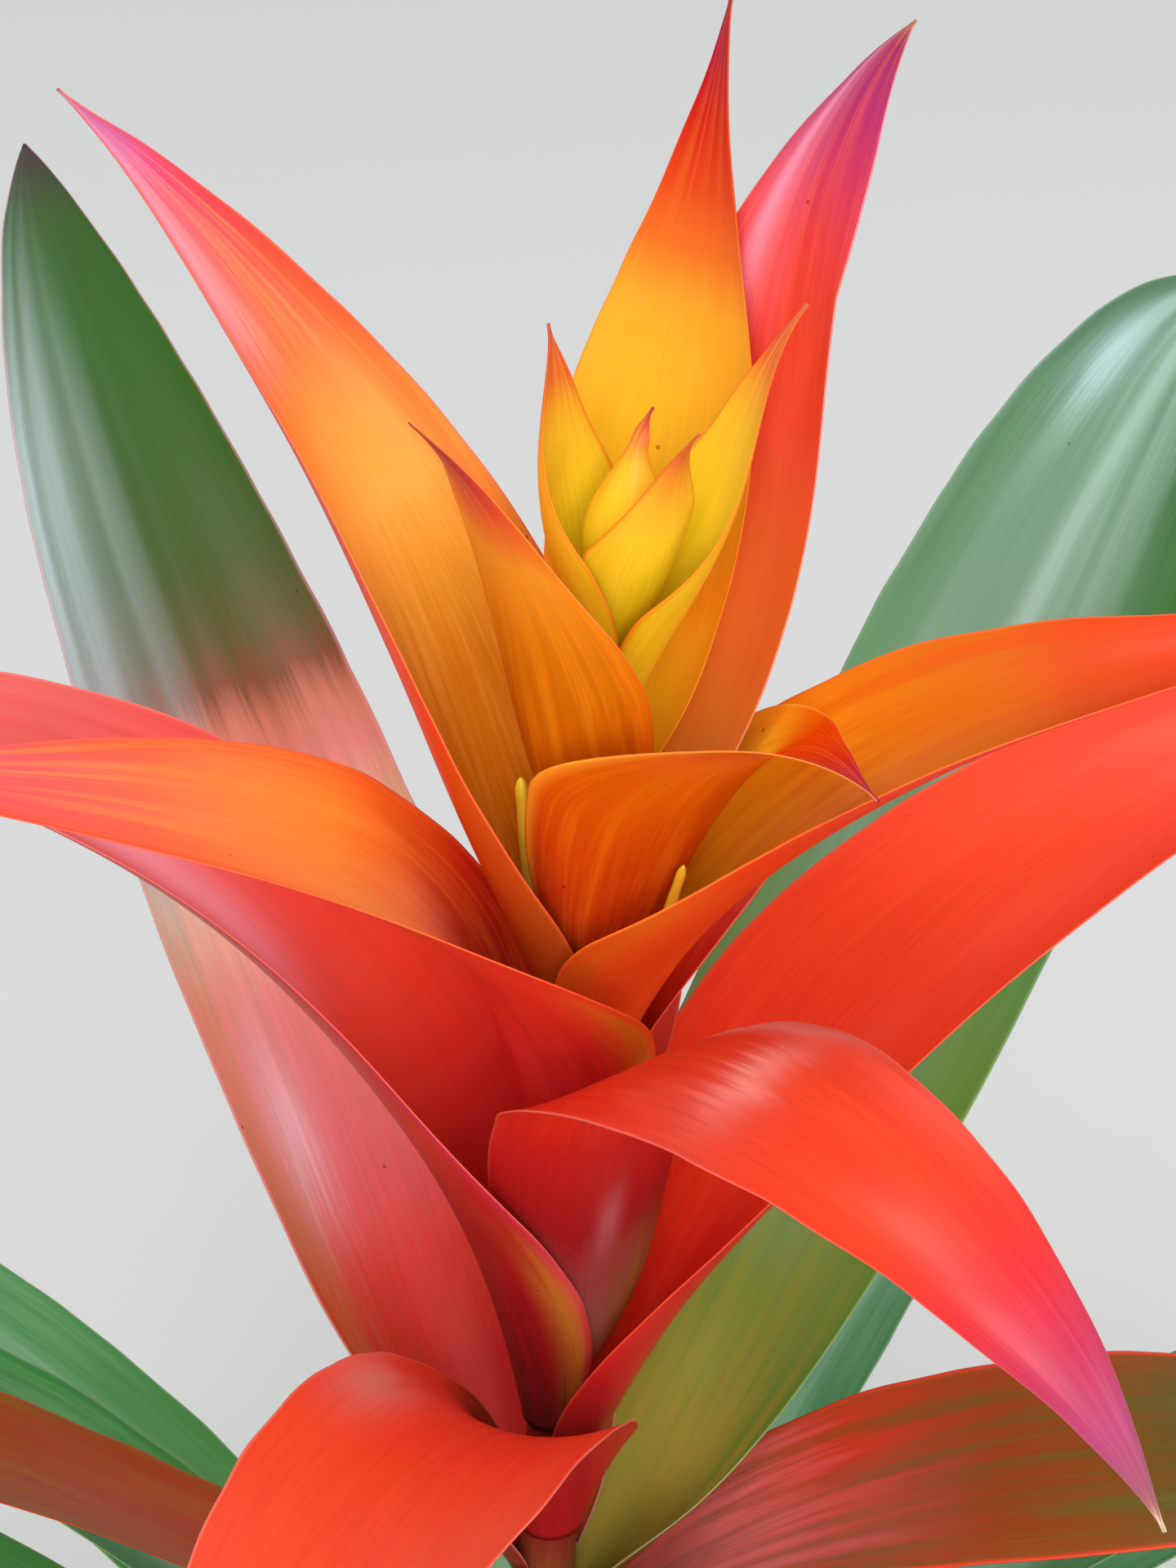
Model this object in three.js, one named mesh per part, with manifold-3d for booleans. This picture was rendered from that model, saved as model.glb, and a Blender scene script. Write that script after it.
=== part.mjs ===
// A potted guzmania: a rosette of strap leaves in a clay pot, and on its stem a spike of coloured bracts.
// Millimetres, +Z up, origin at the middle of the pot's base. Azimuth 0 is +X and 90 is +Y.
import * as THREE from "three";
import { mergeVertices } from "three/addons/utils/BufferGeometryUtils.js";
import Module from "manifold-3d";

const wasm = await Module();
wasm.setup();

// Pot
const POT_HEIGHT = 100;
const POT_RIM_RADIUS = 63;
const POT_BASE_RADIUS = 43;
const POT_WALL = 5.5;
const POT_FLOOR = 7;
const POT_RIM_BAND = 22;
const POT_RIM_STEP = 3;
const POT_EDGE = 1.2;
const POT_SIDES = 48;
const DRAIN_HOLES = 3;
const DRAIN_RADIUS = 4.5;
const DRAIN_CIRCLE = 24;

// Potting mix
const MIX_TOP = 91;
const MIX_MOUND = 1.6;
const MIX_RINGS = 6;
const MIX_SIDES = 32;
const MIX_SEED = 11;

// Stem
const STEM_FOOT = 62;
const STEM_TOP = 424;
const STEM_RADIUS = 5.2;
const STEM_TIP_RADIUS = 2;
const STEM_TAPER_FROM = 325;
const CAUDEX_RADIUS = 10.2;
const CAUDEX_FROM = 160;
const CAUDEX_FULL = 120;
const STEM_SIDES = 16;

// Clearances
const GAP = 0.3;
const BLADE_OFF_STEM = 0.7;

// Blades
const BRACT_THICKNESS = 0.8;
const LEAF_THICKNESS = 0.9;
const BRACT_GRID = [11, 6];
const SMALL_GRID = [9, 4];
const LEAF_GRID = [11, 4];
const SHEATH_SPREAD = 1.05;
const MARGIN_AT_TIP = 0.25;
const ROOT_SHARE = 0.8;
const BRACT_HUG = 109;
const LEAF_HUG = 60;

// How a blade narrows to its tip: (1 - t^shoulder)^point
const OUTLINE = {
  heart: { shoulder: 1.4, point: 1.5 },
  lance: { shoulder: 1.4, point: 1.2 },
  blade: { shoulder: 1.8, point: 0.95 },
  spear: { shoulder: 2.6, point: 1.2 },
  strap: { shoulder: 2.6, point: 0.85 },
};

// Bracts from the heart of the spike down. azimuth and height give the root on the stem,
// rise holds the angles above level that the blade takes from root to tip, turn is how far it
// swings sideways, twist how far it rolls and cup how far it is folded, all in degrees.
// widest is the share of the length at which the blade is broadest. Where it isn't ROOT_SHARE,
// rootShare is the root's share of the width, and hug is how far round the stem a sheath may reach.
const BRACTS = [
  { name: "heart_bract_top", azimuth: 260, height: 423, length: 39, width: 20,
    rise: [74, 59, 126, 148], turn: -21, twist: -18, cup: 60, widest: 0.53, outline: "heart" },
  { name: "heart_bract_front", azimuth: 299, height: 417, length: 50, width: 22,
    rise: [80, 46, 113, 49], turn: 10, twist: 9, cup: 60, widest: 0.42, outline: "heart" },
  { name: "heart_bract_left", azimuth: 182, height: 410, length: 63, width: 32,
    rise: [83, 45, 120, 78], turn: -12, twist: -31, cup: 90, widest: 0.45, outline: "heart" },
  { name: "heart_bract_right", azimuth: 10, height: 403, length: 76, width: 36,
    rise: [87, 34, 118, 56], turn: 1, twist: 13, cup: 65, widest: 0.32, outline: "heart" },
  { name: "bract_back_upright", azimuth: 76, height: 389, length: 126, width: 35,
    rise: [61, 68, 93, 77], turn: -11, twist: -26, cup: 40, widest: 0.43, outline: "heart" },
  { name: "bract_front_upright", azimuth: 227, height: 379, length: 101, width: 40,
    rise: [63, 85, 75, 47], turn: -4, twist: -6, cup: 40, widest: 0.41, outline: "lance" },
  { name: "bract_right_upright", azimuth: 41, height: 365, length: 153, width: 39,
    rise: [69, 48, 144, 31], turn: -3, twist: -7, cup: -50, widest: 0.48, outline: "blade" },
  { name: "bract_front_curled", azimuth: 312, height: 358, length: 97, width: 56,
    rise: [61, 92, 53, -6], turn: -8, twist: -15, cup: 30, widest: 0.42, outline: "heart" },
  { name: "bract_left_tall", azimuth: 158, height: 347, length: 171, width: 55,
    rise: [67, 76, 49, 16], turn: -19, twist: -17, cup: 137, widest: 0.25, outline: "lance", hug: 132 },
  { name: "bract_right_long", azimuth: 342, height: 339, length: 158, width: 55,
    rise: [73, 62, 27, 6], turn: 27, twist: 25, cup: 112, widest: 0.21, outline: "lance", hug: 118 },
  { name: "bract_back_upper", azimuth: 62, height: 325, length: 86, width: 38,
    rise: [88, 60, 0, -40], turn: 0, twist: 0, cup: 30, widest: 0.45, outline: "blade" },
  { name: "bract_left_golden", azimuth: 229, height: 310, length: 183, width: 57,
    rise: [78, 80, 4, -7], turn: -66, twist: -16, cup: 80, widest: 0.25, outline: "lance" },
  { name: "bract_back_lower", azimuth: 84, height: 297, length: 100, width: 27,
    rise: [87, 40, -20, -60], turn: 0, twist: 0, cup: 60, widest: 0.45, outline: "blade" },
  { name: "bract_front_arching", azimuth: 274, height: 275, length: 237, width: 35,
    rise: [67, 107, 1, -62], turn: 62, twist: 36, cup: -62, widest: 0.4, outline: "spear" },
  { name: "bract_left_coral", azimuth: 182, height: 261, length: 222, width: 60,
    rise: [79, 67, 45, -42], turn: -8, twist: -12, cup: 104, widest: 0.2, outline: "blade",
    rootShare: 1, hug: 126 },
  { name: "bract_right_broad", azimuth: 7, height: 251, length: 239, width: 56,
    rise: [74, 68, 50, -12], turn: 9, twist: 52, cup: 103, widest: 0.36, outline: "lance" },
  { name: "bract_front_folded", azimuth: 256, height: 236, length: 213, width: 46,
    rise: [80, 28, 25, -46], turn: -10, twist: -8, cup: 72, widest: 0.53, outline: "blade" },
  { name: "bract_left_green", azimuth: 132, height: 223, length: 285, width: 60,
    rise: [60, 41, 33, 23], turn: -23, twist: -6, cup: 68, widest: 0.2, outline: "strap", hug: 120 },
  { name: "bract_right_green", azimuth: 50, height: 212, length: 294, width: 60,
    rise: [60, 27, 89, -23], turn: 20, twist: 13, cup: 55, widest: 0.48, outline: "strap", rootShare: 1 },
  { name: "bract_right_brown", azimuth: 341, height: 206, length: 187, width: 42,
    rise: [60, 42, 26, -10], turn: 17, twist: 29, cup: -40, widest: 0.41, outline: "strap" },
  { name: "bract_left_brown", azimuth: 217, height: 194, length: 214, width: 38,
    rise: [60, 19, 87, -1], turn: 3, twist: -5, cup: 40, widest: 0.49, outline: "strap" },
  { name: "scape_bract_upper", azimuth: 175, height: 165, length: 36, width: 18,
    rise: [84, 76, 66, 50], turn: 0, twist: 0, cup: 60, widest: 0.35, outline: "blade" },
  { name: "scape_bract_lower", azimuth: 40, height: 148, length: 36, width: 18,
    rise: [84, 76, 66, 50], turn: 0, twist: 0, cup: 60, widest: 0.35, outline: "blade" },
];

// Slender flowers stand inside the bracts. reach is how far the foot is from the stem's axis.
const FLOWER_SIDES = 10;
const FLOWERS = [
  { name: "flower_left", azimuth: 165, height: 361, reach: 8.9, length: 30, radius: 1.4, rise: 82 },
  { name: "flower_right", azimuth: 321, height: 362, reach: 11.7, length: 25, radius: 1, rise: 78 },
  { name: "flower_back", azimuth: 55, height: 329, reach: 7.5, length: 24, radius: 1.4, rise: 67 },
];

// Rosette leaves stand in one spiral, the youngest highest. Those at the back lie flatter.
const LEAF_PLACES = 16;
const LEAF_SHED = 11;
const LEAF_FIRST_AZIMUTH = 185;
const GOLDEN_ANGLE = 137.5;
const LEAF_TOP = 137;
const LEAF_STEP = 2.6;

const COLOURS = {
  heart: 0xf2c230,
  flame: 0xe8452a,
  orange: 0xf0802c,
  coral: 0xe0493f,
  green: 0x3f8a3a,
  brown: 0x9a4a2a,
  leaf: 0x2f7a35,
  stem: 0x7fa04a,
  flower: 0xf6dc4e,
  mix: 0x3a2a20,
  pot: 0xb5653f,
};

const radians = THREE.MathUtils.degToRad;

function material(colour, roughness) {
  return new THREE.MeshStandardMaterial({ color: colour, roughness, metalness: 0 });
}

function stemRadius(z) {
  if (z > CAUDEX_FROM) {
    const share = THREE.MathUtils.clamp((z - STEM_TAPER_FROM) / (STEM_TOP - STEM_TAPER_FROM), 0, 1);
    return THREE.MathUtils.lerp(STEM_RADIUS, STEM_TIP_RADIUS, share);
  }
  const share = Math.min(1, (CAUDEX_FROM - z) / (CAUDEX_FROM - CAUDEX_FULL));
  return THREE.MathUtils.lerp(STEM_RADIUS, CAUDEX_RADIUS, share);
}

// A cubic Bezier through four angles, so that a blade bends smoothly from root to tip
function riseAt(rise, s) {
  const r = 1 - s;
  return r * r * r * rise[0] + 3 * r * r * s * rise[1] + 3 * r * s * s * rise[2] + s * s * s * rise[3];
}

function halfWidth(blade, s) {
  const { shoulder, point } = OUTLINE[blade.outline];
  if (s < blade.widest) {
    const swell = Math.sin((s / blade.widest) * (Math.PI / 2)) ** 1.3;
    return (blade.width / 2) * THREE.MathUtils.lerp(blade.rootShare, 1, swell);
  }
  const t = (s - blade.widest) / (1 - blade.widest);
  return Math.max(MARGIN_AT_TIP, (blade.width / 2) * Math.max(0, 1 - t ** shoulder) ** point);
}

// Points of the blade's middle surface: rows from root to tip, each from one margin to the other
function bladeRows(blade, lengthSteps, widthSteps) {
  const fine = 200;
  const azimuth = radians(blade.azimuth);
  const rootRadius = stemRadius(blade.height) + BLADE_OFF_STEM;
  const spine = [];
  const tangents = [];
  const point = new THREE.Vector3(rootRadius * Math.cos(azimuth), rootRadius * Math.sin(azimuth), 0);
  point.z = blade.height;
  let before = null;
  for (let k = 0; k <= fine; k += 1) {
    const s = k / fine;
    const rise = radians(riseAt(blade.rise, s));
    const heading = azimuth + radians(blade.turn) * s ** 1.5;
    const tangent = new THREE.Vector3(
      Math.cos(rise) * Math.cos(heading), Math.cos(rise) * Math.sin(heading), Math.sin(rise));
    if (before) {
      point.addScaledVector(before, blade.length / fine / 2);
      point.addScaledVector(tangent, blade.length / fine / 2);
    }
    spine.push(point.clone());
    tangents.push(tangent);
    before = tangent;
  }
  const rows = [];
  for (let i = 0; i <= lengthSteps; i += 1) {
    const s = i / lengthSteps;
    const k = Math.round(s * fine);
    const heading = azimuth + radians(blade.turn) * s ** 1.5;
    const side = new THREE.Vector3(-Math.sin(heading), Math.cos(heading), 0);
    const up = new THREE.Vector3().crossVectors(tangents[k], side);
    const roll = radians(blade.twist) * s ** 1.5;
    const across = side.clone().multiplyScalar(Math.cos(roll)).addScaledVector(up, Math.sin(roll));
    const inward = up.clone().multiplyScalar(Math.cos(roll)).addScaledVector(side, -Math.sin(roll));
    const fromAxis = Math.hypot(spine[k].x, spine[k].y) * SHEATH_SPREAD;
    const limit = radians(blade.hug) * fromAxis;
    const half = (halfWidth(blade, s) ** -4 + limit ** -4) ** -0.25;
    const wrap = half / fromAxis;
    const fold = Math.abs(radians(blade.cup)) / 2;
    let bend = (wrap ** 6 + fold ** 6) ** (1 / 6);
    if (blade.cup < 0) {
      const share = THREE.MathUtils.clamp((fold - wrap) / 0.3, 0, 1);
      bend = wrap * (1 - share) - fold * share;
    }
    if (Math.abs(bend) < 1e-4) bend = 1e-4;
    const radius = half / bend;
    const row = [];
    for (let j = 0; j <= widthSteps; j += 1) {
      const angle = bend * ((2 * j) / widthSteps - 1);
      row.push(spine[k].clone()
        .addScaledVector(across, radius * Math.sin(angle))
        .addScaledVector(inward, radius * (1 - Math.cos(angle))));
    }
    rows.push(row);
  }
  return rows;
}

// A closed blade of even thickness about its middle surface, with both faces split alike
function bladeGeometry(blade, grid, thickness) {
  const [lengthSteps, widthSteps] = grid;
  const rows = bladeRows(blade, lengthSteps, widthSteps);
  const { clamp } = THREE.MathUtils;
  const pick = (i, j) => rows[clamp(i, 0, lengthSteps)][clamp(j, 0, widthSteps)];
  const positions = [];
  for (const face of [0.5, -0.5]) {
    for (let i = 0; i <= lengthSteps; i += 1) {
      for (let j = 0; j <= widthSteps; j += 1) {
        const along = new THREE.Vector3().subVectors(pick(i + 1, j), pick(i - 1, j));
        const over = new THREE.Vector3().subVectors(pick(i, j + 1), pick(i, j - 1));
        const normal = along.cross(over).normalize();
        const p = rows[i][j].clone().addScaledVector(normal, thickness * face);
        positions.push(p.x, p.y, p.z);
      }
    }
  }
  const across = widthSteps + 1;
  const back = (lengthSteps + 1) * across;
  const at = (i, j) => i * across + j;
  const index = [];
  const quad = (a, b, c, d) => index.push(a, b, c, a, c, d);
  for (let i = 0; i < lengthSteps; i += 1) {
    for (let j = 0; j < widthSteps; j += 1) {
      const [a, b, c, d] = [at(i, j), at(i + 1, j), at(i + 1, j + 1), at(i, j + 1)];
      quad(a, b, c, d);
      index.push(back + a, back + c, back + b, back + a, back + d, back + c);
    }
    quad(at(i, 0), back + at(i, 0), back + at(i + 1, 0), at(i + 1, 0));
    quad(at(i + 1, widthSteps), back + at(i + 1, widthSteps), back + at(i, widthSteps), at(i, widthSteps));
  }
  for (let j = 0; j < widthSteps; j += 1) {
    const [root, rootNext] = [at(0, j), at(0, j + 1)];
    const [tip, tipNext] = [at(lengthSteps, j), at(lengthSteps, j + 1)];
    quad(rootNext, back + rootNext, back + root, root);
    quad(tip, back + tip, back + tipNext, tipNext);
  }
  const geometry = new THREE.BufferGeometry();
  geometry.setAttribute("position", new THREE.Float32BufferAttribute(positions, 3));
  geometry.setIndex(index);
  geometry.computeVertexNormals();
  return geometry;
}

function rosetteLeaf(number) {
  const t = (number - 1) / (LEAF_PLACES - 1);
  const azimuth = LEAF_FIRST_AZIMUTH + GOLDEN_ANGLE * (number - 1);
  const back = THREE.MathUtils.clamp(1.6 * Math.sin(radians(azimuth)) - 0.3, 0, 1);
  return {
    azimuth,
    height: LEAF_TOP - LEAF_STEP * (number - 1),
    length: 285 + 55 * t - 25 * back,
    width: 36 + 6 * t,
    rise: [
      66 - 16 * t - 8 * back,
      52 - 26 * t - 44 * back * (1 - 0.4 * t),
      38 - 32 * t - 44 * back * (1 - 0.6 * t),
      -28 - 14 * t - 24 * back,
    ],
    turn: 0,
    twist: number % 2 ? 6 : -6,
    cup: 58,
    widest: 0.4,
    outline: "strap",
    rootShare: ROOT_SHARE,
    hug: LEAF_HUG,
  };
}

// A lathe mesh turned from the Y axis of its profile to stand on +Z
function lathe(points, sides) {
  const geometry = new THREE.LatheGeometry(points.map(([r, z]) => new THREE.Vector2(r, z)), sides);
  geometry.rotateX(Math.PI / 2);
  return geometry;
}

function solid(geometry) {
  const bare = geometry.clone();
  bare.deleteAttribute("normal");
  bare.deleteAttribute("uv");
  const merged = mergeVertices(bare, 1e-4);
  const vertProperties = new Float32Array(merged.attributes.position.array);
  const kept = [];
  const triangles = merged.index.array;
  for (let k = 0; k < triangles.length; k += 3) {
    const [a, b, c] = [triangles[k], triangles[k + 1], triangles[k + 2]];
    if (a !== b && b !== c && c !== a) kept.push(a, b, c);
  }
  return new wasm.Manifold(new wasm.Mesh({ numProp: 3, vertProperties, triVerts: new Uint32Array(kept) }));
}

function surface(manifold) {
  const mesh = manifold.getMesh();
  const geometry = new THREE.BufferGeometry();
  geometry.setAttribute("position", new THREE.Float32BufferAttribute(mesh.vertProperties, 3));
  geometry.setIndex(new THREE.Uint32BufferAttribute(mesh.triVerts, 1));
  geometry.computeVertexNormals();
  return geometry;
}

function outerWallRadius(z) {
  const share = z / (POT_HEIGHT - POT_RIM_BAND);
  return THREE.MathUtils.lerp(POT_BASE_RADIUS, POT_RIM_RADIUS - POT_RIM_STEP, share);
}

function innerWallRadius(z) {
  const share = (z - POT_FLOOR) / (POT_HEIGHT - POT_FLOOR);
  return THREE.MathUtils.lerp(POT_BASE_RADIUS - POT_WALL, POT_RIM_RADIUS - POT_WALL - POT_EDGE, share);
}

// A tapered clay pot with a thicker band at the rim and three drain holes in its floor
function potGeometry() {
  const band = POT_HEIGHT - POT_RIM_BAND;
  const outline = [
    [0, 0],
    [POT_BASE_RADIUS - POT_EDGE, 0],
    [POT_BASE_RADIUS, POT_EDGE],
    [outerWallRadius(band), band],
    [POT_RIM_RADIUS - POT_EDGE, band + POT_EDGE],
    [POT_RIM_RADIUS - POT_EDGE / 3, band + 2 * POT_EDGE],
    [POT_RIM_RADIUS, POT_HEIGHT - POT_EDGE],
    [POT_RIM_RADIUS - POT_EDGE, POT_HEIGHT],
    [innerWallRadius(POT_HEIGHT) + POT_EDGE, POT_HEIGHT],
    [innerWallRadius(POT_HEIGHT - POT_EDGE), POT_HEIGHT - POT_EDGE],
    [innerWallRadius(POT_FLOOR), POT_FLOOR],
    [0, POT_FLOOR],
  ];
  let pot = solid(lathe(outline, POT_SIDES));
  for (let k = 0; k < DRAIN_HOLES; k += 1) {
    const angle = (2 * Math.PI * k) / DRAIN_HOLES + Math.PI / 2;
    const hole = new THREE.CylinderGeometry(DRAIN_RADIUS, DRAIN_RADIUS, 3 * POT_FLOOR, 16);
    hole.rotateX(Math.PI / 2);
    hole.translate(DRAIN_CIRCLE * Math.cos(angle), DRAIN_CIRCLE * Math.sin(angle), POT_FLOOR / 2);
    pot = pot.subtract(solid(hole));
  }
  return surface(pot);
}

function seededRandom(seed) {
  let state = seed;
  return () => {
    state = (state * 1664525 + 1013904223) % 4294967296;
    return state / 4294967296;
  };
}

// Potting mix fills the pot nearly to its rim; its top is uneven, and the stem stands in a plain hole
function mixGeometry() {
  const random = seededRandom(MIX_SEED);
  const floor = POT_FLOOR + GAP;
  const positions = [];
  const index = [];
  positions.push(0, 0, MIX_TOP + MIX_MOUND);
  for (let ring = 1; ring <= MIX_RINGS; ring += 1) {
    const share = ring / MIX_RINGS;
    for (let k = 0; k < MIX_SIDES; k += 1) {
      const angle = (2 * Math.PI * k) / MIX_SIDES;
      const lift = ring === MIX_RINGS ? 0 : MIX_MOUND * (1 - share) + (random() - 0.5) * 2.4;
      const radius = (innerWallRadius(MIX_TOP) - 2 * GAP) * share;
      positions.push(radius * Math.cos(angle), radius * Math.sin(angle), MIX_TOP + lift);
    }
  }
  const footRing = positions.length / 3;
  for (let k = 0; k < MIX_SIDES; k += 1) {
    const angle = (2 * Math.PI * k) / MIX_SIDES;
    const radius = innerWallRadius(floor) - 2 * GAP;
    positions.push(radius * Math.cos(angle), radius * Math.sin(angle), floor);
  }
  const foot = positions.length / 3;
  positions.push(0, 0, floor);
  const ringStart = (ring) => 1 + (ring - 1) * MIX_SIDES;
  for (let k = 0; k < MIX_SIDES; k += 1) {
    const next = (k + 1) % MIX_SIDES;
    index.push(0, 1 + k, 1 + next);
    for (let ring = 1; ring < MIX_RINGS; ring += 1) {
      const [a, b] = [ringStart(ring), ringStart(ring + 1)];
      index.push(a + k, b + k, b + next, a + k, b + next, a + next);
    }
    const rim = ringStart(MIX_RINGS);
    index.push(rim + k, footRing + k, footRing + next, rim + k, footRing + next, rim + next);
    index.push(foot, footRing + next, footRing + k);
  }
  const geometry = new THREE.BufferGeometry();
  geometry.setAttribute("position", new THREE.Float32BufferAttribute(positions, 3));
  geometry.setIndex(index);
  const hole = lathe([
    [0, STEM_FOOT - GAP],
    [CAUDEX_RADIUS + GAP, STEM_FOOT - GAP],
    [CAUDEX_RADIUS + GAP, POT_HEIGHT],
    [0, POT_HEIGHT],
  ], STEM_SIDES);
  return surface(solid(geometry).subtract(solid(hole)));
}

function stemGeometry() {
  const outline = [[0, STEM_FOOT], [CAUDEX_RADIUS * 0.7, STEM_FOOT], [CAUDEX_RADIUS, STEM_FOOT + 4]];
  const stops = [CAUDEX_FULL, 130, 140, 150, CAUDEX_FROM, 240, STEM_TAPER_FROM, 358, 391, STEM_TOP];
  for (const z of stops) outline.push([stemRadius(z), z]);
  outline.push([0, STEM_TOP + STEM_TIP_RADIUS]);
  return lathe(outline, STEM_SIDES);
}

// A closed tube, swollen above its foot and pinched below three joined petal tips
function flowerGeometry(flower) {
  const swell = [[0.45, 0], [0.8, 0.12], [0.95, 0.35], [1, 0.6], [0.8, 0.82], [0.86, 0.92], [0.5, 0.985]];
  const outline = [[0, 0]];
  for (const [share, along] of swell) outline.push([flower.radius * share, flower.length * along]);
  outline.push([0, flower.length]);
  const geometry = lathe(outline, FLOWER_SIDES);
  geometry.rotateY(radians(90 - flower.rise));
  geometry.translate(flower.reach, 0, flower.height);
  geometry.rotateZ(radians(flower.azimuth));
  return geometry;
}

function bractColour(name) {
  if (name.startsWith("heart")) return COLOURS.heart;
  if (name.endsWith("green") || name.startsWith("scape")) return COLOURS.green;
  if (name.endsWith("brown")) return COLOURS.brown;
  if (name.endsWith("golden") || name.includes("upright")) return COLOURS.orange;
  if (name.endsWith("coral")) return COLOURS.coral;
  return COLOURS.flame;
}

const group = new THREE.Group();

function add(name, geometry, colour, roughness) {
  const mesh = new THREE.Mesh(geometry, material(colour, roughness));
  mesh.name = name;
  group.add(mesh);
}

add("pot", potGeometry(), COLOURS.pot, 0.85);
add("potting_mix", mixGeometry(), COLOURS.mix, 0.95);
add("stem", stemGeometry(), COLOURS.stem, 0.6);

for (const bract of BRACTS) {
  const small = bract.name.startsWith("heart") || bract.name.startsWith("scape");
  const blade = { hug: BRACT_HUG, rootShare: ROOT_SHARE, ...bract };
  const shape = bladeGeometry(blade, small ? SMALL_GRID : BRACT_GRID, BRACT_THICKNESS);
  add(bract.name, shape, bractColour(bract.name), 0.35);
}

for (const flower of FLOWERS) add(flower.name, flowerGeometry(flower), COLOURS.flower, 0.45);

for (let number = 1; number <= LEAF_PLACES; number += 1) {
  if (number === LEAF_SHED) continue;
  const name = `leaf_${String(number).padStart(2, "0")}`;
  add(name, bladeGeometry(rosetteLeaf(number), LEAF_GRID, LEAF_THICKNESS), COLOURS.leaf, 0.4);
}

export default group;
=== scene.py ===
import math
import random
from collections import namedtuple

import bmesh
import bpy
from mathutils import Matrix, Vector, noise


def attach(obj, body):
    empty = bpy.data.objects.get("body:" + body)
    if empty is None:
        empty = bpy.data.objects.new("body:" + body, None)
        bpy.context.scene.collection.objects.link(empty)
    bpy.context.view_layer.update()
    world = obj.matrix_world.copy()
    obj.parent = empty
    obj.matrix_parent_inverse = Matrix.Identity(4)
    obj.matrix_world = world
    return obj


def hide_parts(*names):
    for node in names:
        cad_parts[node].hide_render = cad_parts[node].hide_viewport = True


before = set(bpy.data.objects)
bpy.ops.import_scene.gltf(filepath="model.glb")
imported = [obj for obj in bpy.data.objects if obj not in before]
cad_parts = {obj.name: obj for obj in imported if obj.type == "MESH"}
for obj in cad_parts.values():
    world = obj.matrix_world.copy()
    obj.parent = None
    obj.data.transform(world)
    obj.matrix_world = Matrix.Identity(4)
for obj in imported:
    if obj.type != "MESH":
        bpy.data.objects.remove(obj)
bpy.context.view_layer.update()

# Clay pot. A plain thrown and fired terracotta pot, tapered, with a thick band at the rim that
# stiffens it and three drain holes in its floor. Unglazed, so it is matt, grainy and a little
# bleached where lime from the water has dried on it. Sizes are in millimetres throughout.
MM = 0.001
SHARP_EDGE = math.radians(25)
POT_HEIGHT = 100
POT_RIM_RADIUS = 63
POT_BASE_RADIUS = 43
POT_WALL = 5.5
POT_FLOOR = 7
POT_BAND = 22
POT_BAND_STEP = 3
POT_ROUNDING = 1.1
POT_STEPS = 144
DRAIN_HOLES = 3
DRAIN_RADIUS = 4.5
DRAIN_CIRCLE = 24


def spun_mesh(outline, steps, rounding=0.0):
    """An outline of (radius, height) points turned once about the upright axis."""
    bm = bmesh.new()
    points = [bm.verts.new((r * MM, 0, z * MM)) for r, z in outline]
    edges = [bm.edges.new(pair) for pair in zip(points, points[1:])]
    bmesh.ops.spin(bm, geom=points + edges, axis=(0, 0, 1), cent=(0, 0, 0), angle=2 * math.pi,
                   steps=steps, use_merge=True)
    bmesh.ops.remove_doubles(bm, verts=bm.verts, dist=1e-6)
    bmesh.ops.recalc_face_normals(bm, faces=bm.faces)
    if rounding:
        corners = [e for e in bm.edges if e.calc_face_angle(0) > SHARP_EDGE]
        bmesh.ops.bevel(bm, geom=corners, offset=rounding * MM, offset_type="OFFSET", segments=3,
                        profile=0.5, affect="EDGES", material=-1)
    for face in bm.faces:
        face.smooth = True
    return bm


def shape_piece(bm, name, slot, *nodes):
    """The finished mesh as a piece of the plant, riding on it and standing for its CAD nodes."""
    mesh = bpy.data.meshes.new(name)
    bm.to_mesh(mesh)
    bm.free()
    piece = bpy.data.objects.new(name, mesh)
    bpy.context.collection.objects.link(piece)
    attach(piece, "root")
    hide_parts(*nodes)
    return piece


def paint(code):
    """A screen colour such as e0703a as the linear colour that the shaders work in."""
    parts = [int(code[k:k + 2], 16) / 255 for k in (0, 2, 4)]
    return tuple(((c + 0.055) / 1.055) ** 2.4 if c > 0.04 else c / 12.92 for c in parts) + (1,)


def add_node(tree, kind, inputs, **settings):
    """A shader node with its settings, and its inputs set or linked."""
    made = tree.nodes.new("ShaderNode" + kind)
    for key, value in settings.items():
        setattr(made, key, value)
    for key, value in inputs.items():
        if isinstance(value, bpy.types.NodeSocket):
            tree.links.new(value, made.inputs[key])
        else:
            made.inputs[key].default_value = value
    return made


def calc(tree, operation, a, b=0.0):
    return add_node(tree, "Math", {0: a, 1: b}, operation=operation).outputs[0]


def times(tree, a, b):
    return calc(tree, "MULTIPLY", a, b)


def plus(tree, a, b):
    return calc(tree, "ADD", a, b)


def ease(tree, value, low, high):
    """0 below low, 1 above high, with a soft step between."""
    inputs = {"Value": value, "From Min": low, "From Max": high}
    return add_node(tree, "MapRange", inputs, interpolation_type="SMOOTHSTEP").outputs["Result"]


def blend(tree, mask, under, over, mode="MIX"):
    made = add_node(tree, "Mix", {0: mask, 6: under, 7: over}, data_type="RGBA", blend_type=mode)
    return made.outputs[2]


def new_material(name):
    material = bpy.data.materials.new(name)
    material.use_nodes = True
    tree = material.node_tree
    return material, tree, tree.nodes["Principled BSDF"]


def own_place(tree):
    """The spot on the piece itself that a pattern is read at."""
    return add_node(tree, "TexCoord", {}).outputs["Object"]


def cloudy(tree, place, scale, detail, roughness=0.5):
    inputs = {"Vector": place, "Scale": scale, "Detail": detail, "Roughness": roughness}
    return add_node(tree, "TexNoise", inputs).outputs["Fac"]


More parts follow.
